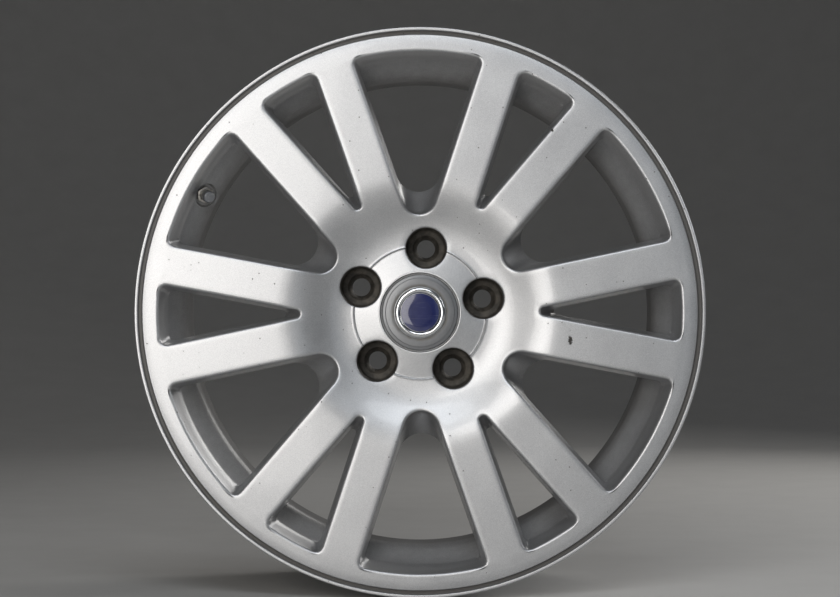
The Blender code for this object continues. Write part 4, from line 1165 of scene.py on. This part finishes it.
cap_in, cap_out, cap_skirt, cap_ceiling = TIP_R + 0.3, TIP_R + 1.2, stem_top - 6.3, stem_top + 1.5
cap_side = [
    (0, cap_ceiling + 1.1), (cap_out - 1.0, cap_ceiling + 1.1), (cap_out - 0.35, cap_ceiling + 0.3),
    (cap_out - 0.35, cap_skirt + 0.4), (cap_out - 0.5, cap_skirt), (cap_in, cap_skirt),
    (cap_in, cap_ceiling), (0, cap_ceiling),
]
dust_cap = turned_solid("dust_cap_body", cap_side, 48, [0.4, 0.3, 0.1, 0.1, 0.1, 0.2])
rib_radii, rib_angles = np.array([cap_out - 0.45, cap_out, cap_out - 0.45]), np.radians([-5.6, 0, 5.6])
knurl = [
    from_polar(rib_radii, rib_angles, np.full(3, height))
    for height in (cap_skirt + 0.5, cap_ceiling + 0.1)
]
rib_points, rib_quads = lofted(knurl)
ribs = new_piece("knurl", rib_points, [*rib_quads, (0, 1, 2), (5, 4, 3)])
anodised = anodised_grey()
turned_round(ribs, 30, 0.0, anodised)
dust_cap = welded("dust_cap", [dust_cap, ribs])
dust_cap.data.transform(valve_at)
valve_piece(dust_cap, anodised, "dust_cap", "valve_cap_alloy", "valve_cap")

brass, rubber = turned_brass(), moulded_rubber()
for name, finish in (("valve_grommet", rubber), ("valve_core_seal", rubber), ("valve_cap_seal", rubber),
                     ("valve_core_barrel", brass), ("valve_core_pin", brass), ("valve_core_spring", steel)):
    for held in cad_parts[name].material_slots:
        held.material = finish

# The room: a pale floor that curves up into a wall all round, so far off that it falls dark
# behind the wheel, with soft boxes placed round the camera.
floor_z = cad_box[0].z
room_side = [(0.0, 0.0), (0.6, 0.0), (1.2, 0.0), (2.0, 0.0)]
room_side += [(2.0 + 2.2 * math.sin(a), 2.2 - 2.2 * math.cos(a)) for a in np.radians(np.linspace(10, 90, 9))]
room_side += [(4.2, 4.5)]
room_points, room_quads = turned_strip([(max(r, 1e-4), h) for r, h in room_side],
                                       np.linspace(0, math.tau, 97))
room_mesh = bpy.data.meshes.new("room")
room_mesh.from_pydata((room_points + np.array([0, 0, floor_z])).tolist(), [], room_quads)
room = bpy.data.objects.new("room", room_mesh)
bpy.context.scene.collection.objects.link(room)
room_mesh.flip_normals()
room_mesh.shade_smooth()
plaster = Look("pale_floor")
speck = plaster.noise(60.0, 4.0)
room_mesh.materials.append(plaster.feed(
    Base_Color=plaster.mix(speck, (0.60, 0.59, 0.57), (0.68, 0.67, 0.65)), Roughness=0.7 + 0.1 * speck,
))


def soft_box(name, place, aim, width, height, power, colour):
    light = bpy.data.lights.new(name, "AREA")
    light.shape, light.size, light.size_y = "RECTANGLE", width, height
    light.energy, light.color = power, colour
    made = bpy.data.objects.new(name, light)
    made.location = place
    made.rotation_euler = (Vector(aim) - Vector(place)).to_track_quat("-Z", "Y").to_euler()
    made.visible_camera = False
    bpy.context.scene.collection.objects.link(made)


soft_box("key", (-0.38, -1.3, 0.16), (0, -0.1, 0), 0.6, 0.72, 4.9, (1.0, 0.97, 0.93))
soft_box("fill", (0.42, -1.3, 0.2), (0, -0.1, 0), 0.35, 0.7, 0.3, (0.8, 0.9, 1.0))
soft_box("overhead", (0.02, -1.12, 0.86), (0, -0.1, 0), 0.85, 0.45, 4.2, (0.92, 0.96, 1.0))
soft_box("side", (1.8, -0.1, 0.8), (0, 0, 0), 0.9, 0.9, 8, (0.97, 0.98, 1.0))
soft_box("behind", (0.9, 1.3, 0.8), (0, 0.1, 0), 0.9, 0.8, 6, (1.0, 0.98, 0.95))
world = bpy.data.worlds.new("studio air")
world.use_nodes = True
world.node_tree.nodes["Background"].inputs["Color"].default_value = (0.85, 0.9, 1.0, 1)
world.node_tree.nodes["Background"].inputs["Strength"].default_value = 0.04
bpy.context.scene.world = world
bpy.context.scene.view_settings.view_transform = "Standard"

scene = bpy.context.scene
camera = bpy.data.objects.new("camera", bpy.data.cameras.new("camera"))
scene.collection.objects.link(camera)
scene.camera = camera
camera.location = (0, -HALF_WIDTH * MM - 1.8, 0)
camera.rotation_euler = (math.radians(90), 0, 0)
camera.data.lens, camera.data.shift_y = 93.6, 0.0167
